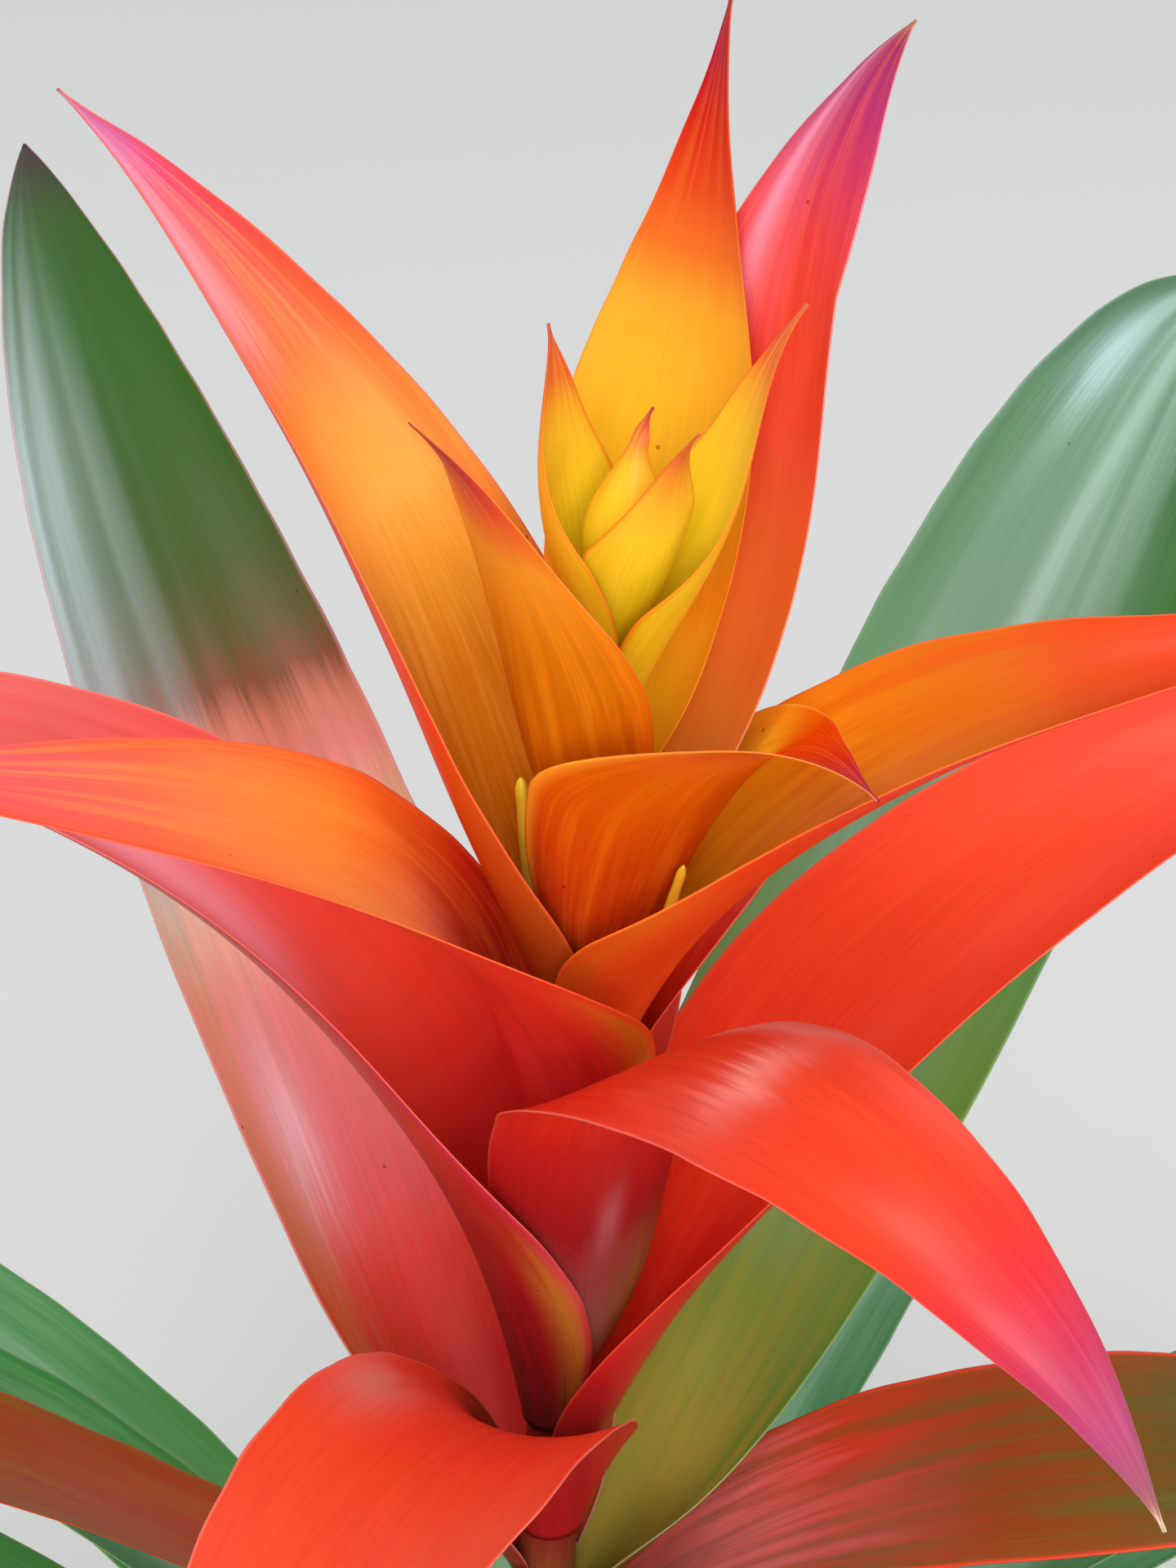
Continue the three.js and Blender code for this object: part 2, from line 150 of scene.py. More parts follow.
def emboss(tree, shader, relief, strength, depth):
    """Low relief on a surface, with its depth in metres."""
    bump = add_node(tree, "Bump", {"Height": relief, "Strength": strength, "Distance": depth})
    tree.links.new(bump.outputs["Normal"], shader.inputs["Normal"])


def set_values(node, values):
    for key, value in values.items():
        node.inputs[key].default_value = value


clay, tree, shader = new_material("terracotta")
place = own_place(tree)
grain = cloudy(tree, place, 900.0, 4.0)
cloud = cloudy(tree, place, 28.0, 5.0)
flat = add_node(tree, "Mapping", {"Vector": place, "Scale": (1.0, 1.0, 26.0)}).outputs["Vector"]
rings = cloudy(tree, flat, 22.0, 3.0)
fired = blend(tree, ease(tree, cloud, 0.35, 0.7), paint("a9583a"), paint("c4744e"))
height = add_node(tree, "SeparateXYZ", {"Vector": place}).outputs["Z"]
lime_height = plus(tree, ease(tree, height, 0.03, 0.0), ease(tree, height, 0.07, 0.1))
lime = times(tree, ease(tree, cloud, 0.48, 0.7), lime_height)
bleached = blend(tree, times(tree, lime, 0.55), fired, paint("d9c2b0"))
tree.links.new(blend(tree, 0.25, bleached, grain, "OVERLAY"), shader.inputs["Base Color"])
emboss(tree, shader, plus(tree, times(tree, grain, 0.4), rings), 0.25, 0.0006)
set_values(shader, {"Roughness": 0.88, "Specular IOR Level": 0.3})

band_foot = POT_HEIGHT - POT_BAND
pot = spun_mesh([
    (0, 0),
    (POT_BASE_RADIUS, 0),
    (POT_RIM_RADIUS - POT_BAND_STEP, band_foot),
    (POT_RIM_RADIUS, band_foot + 1),
    (POT_RIM_RADIUS, POT_HEIGHT),
    (POT_RIM_RADIUS - POT_WALL, POT_HEIGHT),
    (POT_BASE_RADIUS - POT_WALL, POT_FLOOR),
    (0, POT_FLOOR),
], POT_STEPS, POT_ROUNDING)
pot = shape_piece(pot, "clay_pot", "pot", "pot")
drill = bmesh.new()
for k in range(DRAIN_HOLES):
    angle = 2 * math.pi * k / DRAIN_HOLES + math.pi / 2
    middle = (DRAIN_CIRCLE * MM * math.cos(angle), DRAIN_CIRCLE * MM * math.sin(angle), 0)
    bmesh.ops.create_cone(drill, cap_ends=True, segments=32, radius1=DRAIN_RADIUS * MM,
                          radius2=DRAIN_RADIUS * MM, depth=4 * POT_FLOOR * MM,
                          matrix=Matrix.Translation(middle))
drill_mesh = bpy.data.meshes.new("drain_drill")
drill.to_mesh(drill_mesh)
drill.free()
drill = bpy.data.objects.new("drain_drill", drill_mesh)
bpy.context.collection.objects.link(drill)
cut = pot.modifiers.new("drain_holes", "BOOLEAN")
cut.operation = "DIFFERENCE"
cut.object = drill
cut_mesh = bpy.data.meshes.new_from_object(pot.evaluated_get(bpy.context.evaluated_depsgraph_get()))
pot.modifiers.clear()
pot.data = cut_mesh
bpy.data.objects.remove(drill)
pot.data.materials.clear()
pot.data.materials.append(clay)

# Potting mix. Bark, peat and perlite filled loosely to just under the rim, damp and dark, with
# chips of bark and white perlite grains lying on it. The plant's foot stands in a plain hole.
MIX_TOP = 91
MIX_RADIUS = 54.4
MIX_FOOT_RADIUS = 37
MIX_FLOOR = 7.3
MIX_HOLE = 10.5
MIX_HOLE_FLOOR = 61.7
MIX_RINGS = 46
MIX_EDGE = 0.3
MIX_LEVEL_EDGE = 3
MIX_STEPS = 120
LUMP_LENGTH = 9
CRUMB_LENGTH = 2.6
CRUMB_HEIGHT = 0.9
CHIP_COUNT = 420
CHIP_RADIUS = (1.6, 4.2)
CHIP_SPREAD = (0.08, 0.9)
CHIP_KNOB = 1.4
CHIP_KNOB_HEIGHT = 0.25
PERLITE_COUNT = 70
PERLITE_RADIUS = (0.9, 1.7)
MIX_SEED = 4

outline = [(0, MIX_FLOOR), (MIX_FOOT_RADIUS, MIX_FLOOR)]
for k in range(MIX_RINGS + 1):
    outline.append((MIX_RADIUS + (MIX_HOLE - MIX_RADIUS) * k / MIX_RINGS, MIX_TOP))
outline += [(MIX_HOLE, MIX_HOLE_FLOOR), (0, MIX_HOLE_FLOOR)]
mix = spun_mesh(outline, MIX_STEPS)
for vert in mix.verts:
    r = math.hypot(vert.co.x, vert.co.y) / MM
    if vert.co.z > (MIX_TOP - 1) * MM and MIX_HOLE + MIX_EDGE < r < MIX_RADIUS - MIX_EDGE:
        lumps = noise.noise(vert.co / (LUMP_LENGTH * MM))
        lumps += noise.noise(vert.co / (CRUMB_LENGTH * MM)) * CRUMB_HEIGHT
        vert.co.z += lumps * min(1, (MIX_RADIUS - r) / MIX_LEVEL_EDGE) * MM
tone = mix.verts.layers.float.new("tone")
draw = random.Random(MIX_SEED)
# Without a seed of its own, noise_vector would shift with the clock from run to run.
noise.seed_set(MIX_SEED)
for k in range(CHIP_COUNT + PERLITE_COUNT):
    perlite = k >= CHIP_COUNT
    size = draw.uniform(*(PERLITE_RADIUS if perlite else CHIP_RADIUS))
    r = math.sqrt(draw.uniform(*CHIP_SPREAD)) * MIX_RADIUS
    angle = draw.uniform(0, 2 * math.pi)
    spot = Vector((r * math.cos(angle), r * math.sin(angle), MIX_TOP + draw.uniform(-0.2, 0.5))) * MM
    turn = Matrix.Rotation(draw.uniform(0, 6.28), 4, "Z") @ Matrix.Rotation(draw.uniform(-0.4, 0.4), 4, "X")
    flatness = (1, 1, 0.9) if perlite else (1, draw.uniform(0.35, 0.7), draw.uniform(0.2, 0.38))
    matrix = Matrix.Translation(spot) @ turn @ Matrix.Diagonal((*flatness, 1))
    chip = bmesh.ops.create_icosphere(mix, subdivisions=2 if perlite else 1, radius=size * MM, matrix=matrix)
    shade = 1.0 if perlite else draw.uniform(0.1, 0.7)
    for vert in chip["verts"]:
        vert.co += noise.noise_vector(vert.co / (CHIP_KNOB * MM)) * CHIP_KNOB_HEIGHT * size * MM
        vert[tone] = shade

soil, tree, shader = new_material("bark_mix")
crumb = cloudy(tree, own_place(tree), 700.0, 5.0)
shade = add_node(tree, "Attribute", {}, attribute_name="tone").outputs["Fac"]
bark = blend(tree, crumb, paint("20140d"), paint("4a3222"))
bark = blend(tree, ease(tree, shade, 0.1, 0.7), bark, paint("80563a"))
bark = blend(tree, ease(tree, shade, 0.8, 0.95), bark, paint("e6e0d4"))
tree.links.new(bark, shader.inputs["Base Color"])
emboss(tree, shader, crumb, 0.7, 0.001)
set_values(shader, {"Roughness": 0.92})
mix = shape_piece(mix, "bark_potting_mix", "potting_mix", "potting_mix")
mix.data.materials.append(soil)

# Stem. One fleshy scape that rises out of the thick foot of the plant and thins towards the heart
# of the spike. It carries every leaf and bract, and hardly shows between their sheaths.
STEM_FOOT = 62
STEM_TOP = 424
STEM_RADIUS = 5.2
STEM_TIP_RADIUS = 2.0
STEM_TAPER_FROM = 325
CAUDEX_RADIUS = 10.2
CAUDEX_FROM = 160
CAUDEX_FULL = 120
STEM_RINGS = 120
STEM_STEPS = 40
FOOT_ROUNDING = 5
SCAR_SPACING = 9
SCAR_DEPTH = 0.12


def stem_radius(z):
    if z > CAUDEX_FROM:
        share = min(1, max(0, (z - STEM_TAPER_FROM) / (STEM_TOP - STEM_TAPER_FROM)))
        return STEM_RADIUS + (STEM_TIP_RADIUS - STEM_RADIUS) * share
    share = min(1, (CAUDEX_FROM - z) / (CAUDEX_FROM - CAUDEX_FULL))
    return STEM_RADIUS + (CAUDEX_RADIUS - STEM_RADIUS) * share


outline = [(0, STEM_FOOT), (CAUDEX_RADIUS * 0.7, STEM_FOOT), (CAUDEX_RADIUS, STEM_FOOT + 4)]
for k in range(STEM_RINGS + 1):
    z = STEM_FOOT + FOOT_ROUNDING + (STEM_TOP - STEM_FOOT - FOOT_ROUNDING) * k / STEM_RINGS
    scar = SCAR_DEPTH * math.cos(z * 2 * math.pi / SCAR_SPACING) - SCAR_DEPTH
    outline.append((stem_radius(z) + scar, z))
outline.append((0, STEM_TOP + STEM_TIP_RADIUS * 0.8))
flesh, tree, shader = new_material("scape_flesh")
place = own_place(tree)
height = add_node(tree, "SeparateXYZ", {"Vector": place}).outputs["Z"]
long = add_node(tree, "Mapping", {"Vector": place, "Scale": (1.0, 1.0, 0.06)}).outputs["Vector"]
fibre = cloudy(tree, long, 1400.0, 3.0)
green = blend(tree, ease(tree, height, 0.1, 0.2), paint("6f5a34"), paint("7d9a45"))
red = blend(tree, ease(tree, height, 0.19, 0.24), green, paint("8e2018"))
red = blend(tree, ease(tree, height, 0.34, 0.39), red, paint("d08a2a"))
tree.links.new(blend(tree, 0.35, red, fibre, "OVERLAY"), shader.inputs["Base Color"])
emboss(tree, shader, fibre, 0.3, 0.0004)
set_values(shader, {"Roughness": 0.5})
stem = shape_piece(spun_mesh(outline, STEM_STEPS), "scape_stem", "stem", "stem")
stem.data.materials.append(flesh)

# Rosette. Fifteen leathery strap leaves in one spiral, each with a broad sheath that clasps the
# foot of the plant. They grow from a pale root end to deep glossy green, with fine parallel veins.
LEAF_PLACES = 16
LEAF_SHED = 11
LEAF_FIRST_AZIMUTH = 185
GOLDEN_ANGLE = 137.5
LEAF_TOP = 137
LEAF_STEP = 2.6
LEAF_LENGTH = 285
LEAF_WIDTH = 36
LEAF_LOWEST_LONGER = 55
LEAF_LOWEST_WIDER = 6
LEAF_BACK_SHORTER = 25
LEAF_RISE = (66, 52, 38, -28)
LEAF_LOWEST_FLATTER = (16, 26, 32, 14)
LEAF_BACK_FLATTER = (8, 44, 44, 24)
LEAF_BACK_LOWEST = (0, 0.4, 0.6, 0)
LEAF_THICKNESS = 0.9
LEAF_GRID = (100, 26)
BLADE_OFF_STEM = 0.7
SHEATH_SPREAD = 1.05
MARGIN_AT_TIP = 0.25
MARGIN_FLESH = 0.3
MARGIN_CROWDING = 0.65
MARGIN_WANDER = 0.5
WANDER_LENGTH = 16
FRAY_LENGTH = 8
FRAY_SHARE = 0.2
RIPPLE_HEIGHT = 0.45
RIPPLE_LENGTH = 34
ROOT_SHARE = 0.8
SHEATH_HUG = 109
OUTLINE = {"heart": (1.4, 1.5), "lance": (1.4, 1.2), "blade": (1.8, 0.95), "spear": (2.6, 1.2),
           "strap": (2.6, 0.85)}

# A blade's sizes: angles in degrees, its widest place as a share of its length.
Blade = namedtuple("Blade", "azimuth height length width rise turn twist cup widest outline root_share hug",
                   defaults=(ROOT_SHARE, SHEATH_HUG))


def rise_at(rise, s):
    r = 1 - s
    return r ** 3 * rise[0] + 3 * r * r * s * rise[1] + 3 * r * s * s * rise[2] + s ** 3 * rise[3]


def half_width(blade, s):
    shoulder, point = OUTLINE[blade.outline]
    if s < blade.widest:
        swell = math.sin(s / blade.widest * math.pi / 2) ** 1.3
        return blade.width / 2 * (blade.root_share + (1 - blade.root_share) * swell)
    t = (s - blade.widest) / (1 - blade.widest)
    return max(MARGIN_AT_TIP, blade.width / 2 * max(0, 1 - t ** shoulder) ** point)


def blade_spine(blade, steps):
    """Points and directions along the middle of a blade, from its root on the stem to its tip."""
    azimuth = math.radians(blade.azimuth)
    root = stem_radius(blade.height) + BLADE_OFF_STEM
    point = Vector((root * math.cos(azimuth), root * math.sin(azimuth), blade.height))
    spine = []
    before = None
    for k in range(steps + 1):
        s = k / steps
        rise = math.radians(rise_at(blade.rise, s))
        heading = azimuth + math.radians(blade.turn) * s ** 1.5
        level = math.cos(rise)
        along = Vector((level * math.cos(heading), level * math.sin(heading), math.sin(rise)))
        if before:
            point = point + (before + along) * (blade.length / steps / 2)
        spine.append((point, along, heading))
        before = along
    return spine


def blade_bend(blade, half, from_axis):
    """Half the angle that a blade's cross-section is bent through: its clasp round the stem or its fold."""
    wrap = half / from_axis
    fold = math.radians(abs(blade.cup)) / 2
    if blade.cup < 0:
        share = min(1, max(0, (fold - wrap) / 0.3))
        return wrap * (1 - share) - fold * share
    return (wrap ** 6 + fold ** 6) ** (1 / 6)


def blade_mesh(blade, grid, seed):
    """A blade's middle surface: a flat grid laid along the spine and bent across it."""
    rows, columns = grid
    steps = rows * 4
    spine = blade_spine(blade, steps)
    bm = bmesh.new()
    bmesh.ops.create_grid(bm, x_segments=columns, y_segments=rows, size=1)
    across_layer = bm.verts.layers.float.new("across")
    along_layer = bm.verts.layers.float.new("along")
    for vert in bm.verts:
        t = -vert.co.x
        u = (1 - MARGIN_CROWDING) * t + MARGIN_CROWDING * math.sin(t * math.pi / 2)
        s = (vert.co.y + 1) / 2
        point, along, heading = spine[round(s * steps)]
        side = Vector((-math.sin(heading), math.cos(heading), 0))
        up = along.cross(side)
        roll = math.radians(blade.twist) * s ** 1.5
        across = side * math.cos(roll) + up * math.sin(roll)
        inward = up * math.cos(roll) - side * math.sin(roll)
        from_axis = math.hypot(point.x, point.y) * SHEATH_SPREAD
        limit = math.radians(blade.hug) * from_axis
        half = (half_width(blade, s) ** -4 + limit ** -4) ** -0.25
        bend = blade_bend(blade, half, from_axis)
        if abs(bend) < 1e-4:
            bend = 1e-4
        radius = half / bend
        angle = bend * u
        reach = s * blade.length
        ripple = noise.noise(Vector((u * 1.1, reach / RIPPLE_LENGTH, seed))) * RIPPLE_HEIGHT
        ripple *= min(1, s * 5) * (0.3 + 0.7 * abs(u))
        normal = inward * math.cos(angle) - across * math.sin(angle)
        spot = point + across * (radius * math.sin(angle)) + inward * (radius * (1 - math.cos(angle)))
        sideways = across * math.cos(angle) + inward * math.sin(angle)
        wander = noise.noise(Vector((math.copysign(5, u), reach / WANDER_LENGTH, seed)))
        wander += noise.noise(Vector((math.copysign(9, u), reach / FRAY_LENGTH, seed))) * FRAY_SHARE
        wander *= MARGIN_WANDER * abs(u) ** 5 * min(1, (1 - s) * 12, s * 12)
        vert.co = (spot + normal * ripple + sideways * wander) * MM
        vert[across_layer] = (u + 1) / 2
        vert[along_layer] = s
    uv = bm.loops.layers.uv.new("blade")
    for face in bm.faces:
        face.smooth = True
        for loop in face.loops:
            loop[uv].uv = (loop.vert[across_layer], loop.vert[along_layer])
    return bm


def grow_blade(name, blade, grid, thickness, slot, node_name, upper, under, seed):
    """A whole leaf or bract: fleshy along its middle, thin at its margins, its two faces in two skins."""
    piece = shape_piece(blade_mesh(blade, grid, seed), name, slot, node_name)
    flesh = piece.vertex_groups.new(name="flesh")
    across = piece.data.attributes["across"].data
    for k in range(len(piece.data.vertices)):
        edge = abs(2 * across[k].value - 1)
        flesh.add([k], MARGIN_FLESH + (1 - MARGIN_FLESH) * (1 - edge ** 5), "REPLACE")
    wall = piece.modifiers.new("thickness", "SOLIDIFY")
    wall.thickness = thickness * MM
    wall.offset = 0
    wall.use_quality_normals = True
    wall.vertex_group = "flesh"
    wall.material_offset = 1
    wall.material_offset_rim = 0
    piece.data.materials.append(upper)
    piece.data.materials.append(under)


def add_sockets(group, in_out, kind, names):
    for name, value in names.items():
        socket = group.interface.new_socket(name, in_out=in_out, socket_type="NodeSocket" + kind)
        if in_out == "INPUT":
            socket.default_value = value


# Every blade has the same grain: parallel veins that run from root to tip and draw together there,
# and broader streaks in which one colour runs on into the next.
GRAIN = ("Along", "Across", "Edge", "Streak", "Vein", "Band")
grain_group = tree = bpy.data.node_groups.new("blade_grain", "ShaderNodeTree")
add_sockets(tree, "INPUT", "Float", {"Length": 200, "Width": 50, "Drift": 0.05, "Seed": 0})
add_sockets(tree, "OUTPUT", "Float", dict.fromkeys(GRAIN, 0))
given = tree.nodes.new("NodeGroupInput").outputs
uv = add_node(tree, "UVMap", {}, uv_map="blade").outputs["UV"]
uv = add_node(tree, "SeparateXYZ", {"Vector": uv}).outputs
wide = times(tree, uv["X"], given["Width"])
long = times(tree, uv["Y"], given["Length"])


def drawn_out(tree, across, along, shift, scale, detail, roughness=0.5):
    """Noise in the blade's own millimetres, drawn out from its root to its tip."""
    spot = {"X": times(tree, wide, across), "Y": times(tree, long, along),
            "Z": plus(tree, given["Seed"], shift)}
    spot = add_node(tree, "CombineXYZ", spot).outputs[0]
    return cloudy(tree, spot, scale, detail, roughness)


vein = drawn_out(tree, 1.0, 0.03, 0.0, 1.5, 2.0)
streak = drawn_out(tree, 0.2, 0.012, 3.7, 1.6, 4.0, 0.6)
band = drawn_out(tree, 0.1, 0.004, 8.1, 1.3, 1.0)
shift = plus(tree, calc(tree, "SUBTRACT", streak, 0.5), times(tree, calc(tree, "SUBTRACT", vein, 0.5), 0.5))
along = plus(tree, uv["Y"], times(tree, shift, given["Drift"]))
centred = calc(tree, "SUBTRACT", times(tree, uv["X"], 2.0), 1.0)
edge = calc(tree, "ABSOLUTE", centred)
result = tree.nodes.new("NodeGroupOutput").inputs
for name, socket in zip(GRAIN, (along, uv["X"], edge, streak, vein, band)):
    tree.links.new(socket, result[name])

# The skin over that grain: streaks and veins in a second colour, a flank colour towards the margins, a pale
# band that is partly waxy bloom and partly painted sheen, a pale patch of painted highlight, a thin coloured
# hairline at each margin, and a few dark specks.
skin_group = tree = bpy.data.node_groups.new("blade_skin", "ShaderNodeTree")
add_sockets(tree, "INPUT", "Color", {
    "Ground": (1, 0, 0, 1), "Streak Colour": (1, 0, 0, 1), "Flank Colour": (1, 0, 0, 1),
    "Wax Colour": (1, 1, 1, 1), "Bloom Colour": (1, 1, 1, 1), "Margin Colour": (1, 1, 1, 1)})
add_sockets(tree, "INPUT", "Float", dict.fromkeys(GRAIN, 0))
add_sockets(tree, "INPUT", "Float", {
    "Streak Amount": 0.3, "Flank Amount": 0.0, "Flank From": 0.6, "Flank To": 2.0, "Wax Amount": 0.0,
    "Wax Across": 0.5, "Wax Width": 0.15, "Wax From": 0.2, "Wax To": 0.8, "Bloom Amount": 0.0,
    "Bloom Along": 0.5, "Bloom Length": 0.1, "Bloom Across": 0.5, "Bloom Width": 0.1,
    "Margin Amount": 0.5, "Margin From": 0.97})
add_sockets(tree, "OUTPUT", "Color", {"Colour": 0})
add_sockets(tree, "OUTPUT", "Float", {"Roughness": 0, "Relief": 0})
given = tree.nodes.new("NodeGroupInput").outputs
SOFT_END = 0.14


def hill(tree, where, middle, spread):
    """A soft hump: 1 in the middle, falling away to both sides."""
    off = calc(tree, "DIVIDE", calc(tree, "SUBTRACT", where, middle), spread)
    return calc(tree, "EXPONENT", times(tree, times(tree, off, off), -1.0))


def partly(tree, mask, share):
    """The mask with its floor raised, so that it takes away only this share."""
    return plus(tree, times(tree, mask, share), 1 - share)


def masked(tree, *masks):
    """Several masks laid over each other."""
    found = masks[0]
    for mask in masks[1:]:
        found = times(tree, found, mask)
    return found


flank_end = calc(tree, "SUBTRACT", given["Flank To"], SOFT_END)
flank = masked(tree, ease(tree, given["Edge"], given["Flank From"], 1.0),
               ease(tree, given["Along"], given["Flank To"], flank_end),
               partly(tree, ease(tree, given["Streak"], 0.4, 0.58), 0.65), given["Flank Amount"])
colour = blend(tree, flank, given["Ground"], given["Flank Colour"])
striped = plus(tree, times(tree, given["Streak"], 0.8), times(tree, given["Vein"], 0.2))
striped = masked(tree, ease(tree, striped, 0.42, 0.66), given["Streak Amount"])
colour = blend(tree, striped, colour, given["Streak Colour"])
start = plus(tree, given["Wax From"], SOFT_END)
stop = calc(tree, "SUBTRACT", given["Wax To"], 2 * SOFT_END)
# Pale band along the blade: partly a real waxy bloom, partly a painted sheen where light glances off it.
wax = masked(tree, hill(tree, given["Across"], given["Wax Across"], given["Wax Width"]),
             ease(tree, given["Along"], given["Wax From"], start),
             ease(tree, given["Along"], given["Wax To"], stop),
             partly(tree, ease(tree, given["Band"], 0.36, 0.6), 0.6), given["Wax Amount"])
colour = blend(tree, wax, colour, given["Wax Colour"])
# A soft pale patch painted where a glossy highlight falls on the blade.
bloom = masked(tree, hill(tree, given["Along"], given["Bloom Along"], given["Bloom Length"]),
               hill(tree, given["Across"], given["Bloom Across"], given["Bloom Width"]),
               partly(tree, ease(tree, given["Vein"], 0.35, 0.6), 0.15), given["Bloom Amount"])
colour = blend(tree, bloom, colour, given["Bloom Colour"])
lines = add_node(tree, "MapRange", {"Value": given["Vein"], "From Min": 0.3, "From Max": 0.7,
                                    "To Min": 0.95, "To Max": 1.04}).outputs["Result"]
colour = blend(tree, 1.0, colour, lines, "MULTIPLY")
place = own_place(tree)
cells = add_node(tree, "TexVoronoi", {"Vector": place, "Scale": 210.0, "Randomness": 1.0})
rare = add_node(tree, "SeparateColor", {"Color": cells.outputs["Color"]}).outputs[0]
speck = masked(tree, ease(tree, cells.outputs["Distance"], 0.09, 0.05), ease(tree, rare, 0.93, 0.96))
colour = blend(tree, times(tree, speck, 0.6), colour, paint("3a1510"))
margin = masked(tree, ease(tree, given["Edge"], given["Margin From"], 1.0), given["Margin Amount"])
colour = blend(tree, margin, colour, given["Margin Colour"])
mottle = cloudy(tree, place, 260.0, 3.0)
rough = plus(tree, times(tree, given["Vein"], 0.16), times(tree, mottle, 0.12))
result = tree.nodes.new("NodeGroupOutput").inputs
tree.links.new(colour, result["Colour"])
tree.links.new(plus(tree, rough, 0.22), result["Roughness"])
tree.links.new(plus(tree, given["Vein"], times(tree, mottle, 0.25)), result["Relief"])


def blade_skin(name, blade, stops, margin, seed, drift=0.06, coat=0.05, gloss=0.12, flesh=0.12, **looks):
    """One face's material. stops are (share of the length, colour) from root to tip."""
    material, tree, shader = new_material(name)
    grain = add_node(tree, "Group", {}, node_tree=grain_group)
    set_values(grain, {"Length": blade.length, "Width": blade.width, "Drift": drift, "Seed": seed})
    ramp = add_node(tree, "ValToRGB", {"Fac": grain.outputs["Along"]})
    colours = ramp.color_ramp.elements
    while len(colours) < len(stops):
        colours.new(0.5)
    for element, (share, code) in zip(colours, stops):
        element.position = share
        element.color = paint(code)
    skin = add_node(tree, "Group", {}, node_tree=skin_group)
    tree.links.new(ramp.outputs["Color"], skin.inputs["Ground"])
    for key in GRAIN:
        tree.links.new(grain.outputs[key], skin.inputs[key])
    looks["margin_colour"] = margin
    set_values(skin, {key.replace("_", " ").title(): paint(value) if isinstance(value, str) else value
                      for key, value in looks.items()})
    tree.links.new(skin.outputs["Colour"], shader.inputs["Base Color"])
    tree.links.new(skin.outputs["Roughness"], shader.inputs["Roughness"])
    emboss(tree, shader, skin.outputs["Relief"], 0.12, 0.0004)
    set_values(shader, {
        "Specular IOR Level": gloss, "Coat Weight": coat, "Coat Roughness": 0.3, "Subsurface Weight": flesh,
        "Subsurface Radius": (1.0, 0.5, 0.25), "Subsurface Scale": 0.0012})
    return material


def rosette_leaf(number):
    """A leaf of the spiral, flatter the lower it stands, and flattest at the back."""
    t = (number - 1) / (LEAF_PLACES - 1)
    azimuth = LEAF_FIRST_AZIMUTH + GOLDEN_ANGLE * (number - 1)
    back = min(1, max(0, 1.6 * math.sin(math.radians(azimuth)) - 0.3))
    rise = [first - lowest * t - at_back * back * (1 - easing * t) for first, lowest, at_back, easing
            in zip(LEAF_RISE, LEAF_LOWEST_FLATTER, LEAF_BACK_FLATTER, LEAF_BACK_LOWEST)]
    length = LEAF_LENGTH + LEAF_LOWEST_LONGER * t - LEAF_BACK_SHORTER * back
    return Blade(azimuth, LEAF_TOP - LEAF_STEP * (number - 1), length, LEAF_WIDTH + LEAF_LOWEST_WIDER * t,
                 rise, turn=0, twist=6 if number % 2 else -6, cup=58, widest=0.4, outline="strap", hug=60)


usual_leaf = rosette_leaf(1)._replace(length=310, width=40)
# The pale band on the upper face is partly waxy bloom and partly painted sheen.
leaf_upper = blade_skin("leaf_upper", usual_leaf, [
    (0.0, "8aa05a"), (0.12, "4f8a3c"), (0.45, "2f7a38"), (0.85, "2a6c34"), (0.97, "4a6a34"), (1.0, "7a5a34"),
], "a8b88a", 1.0, streak_colour="5f9a5c", streak_amount=0.45, margin_amount=0.4, coat=0.25,
    wax_colour="a8c8b4", wax_amount=0.5, wax_across=0.42, wax_width=0.22, wax_from=0.05, wax_to=1.15)
leaf_under = blade_skin("leaf_under", usual_leaf, [
    (0.0, "9aa868"), (0.12, "6a9450"), (0.5, "4c8448"), (0.95, "4a7a40"), (1.0, "7a5a34"),
], "a8b88a", 2.0, streak_colour="7a9c66", streak_amount=0.4, margin_amount=0.4, coat=0.2)
for number in range(1, LEAF_PLACES + 1):
    if number != LEAF_SHED:
        node_name = f"leaf_{number:02d}"
        grow_blade("rosette_" + node_name, rosette_leaf(number), LEAF_GRID, LEAF_THICKNESS, "leaf", node_name,
                   leaf_upper, leaf_under, number)

# Scape bracts. Two short leaf-like scales that clasp the bare stem between the rosette and the
# spike, thin and green, closed round the stem like a sheath.
BRACT_THICKNESS = 0.8
SMALL_GRID = (60, 24)

scape_lower = Blade(40, 148, 36, 18, (84, 76, 66, 50), 0, 0, 60, 0.35, "blade")
scape_upper = Blade(175, 165, 36, 18, (84, 76, 66, 50), 0, 0, 60, 0.35, "blade")
scape_stops = [(0.0, "9aa860"), (0.4, "5f8c40"), (0.85, "6a7c38"), (1.0, "8a5a30")]
scape_skin = blade_skin("scape_bract", scape_lower, scape_stops, "b0664a", 3.0, streak_colour="7fa05a")
grow_blade("scape_scale_lower", scape_lower, SMALL_GRID, BRACT_THICKNESS, "bract_green", "scape_bract_lower",
           scape_skin, scape_skin, 21)
grow_blade("scape_scale_upper", scape_upper, SMALL_GRID, BRACT_THICKNESS, "bract_green", "scape_bract_upper",
           scape_skin, scape_skin, 22)

# Brown bracts. The two lowest of the spike, half leaf and half flower bract: olive green streaked
# over with rusty red, redder at the margins, arching low to the left and the right of the front.
BRACT_GRID = (120, 40)


def grow_bract(name, blade, tint, upper, under, seed):
    grow_blade("blade_" + name, blade, BRACT_GRID, BRACT_THICKNESS, "bract_" + tint, "bract_" + name,
               upper, under, seed)


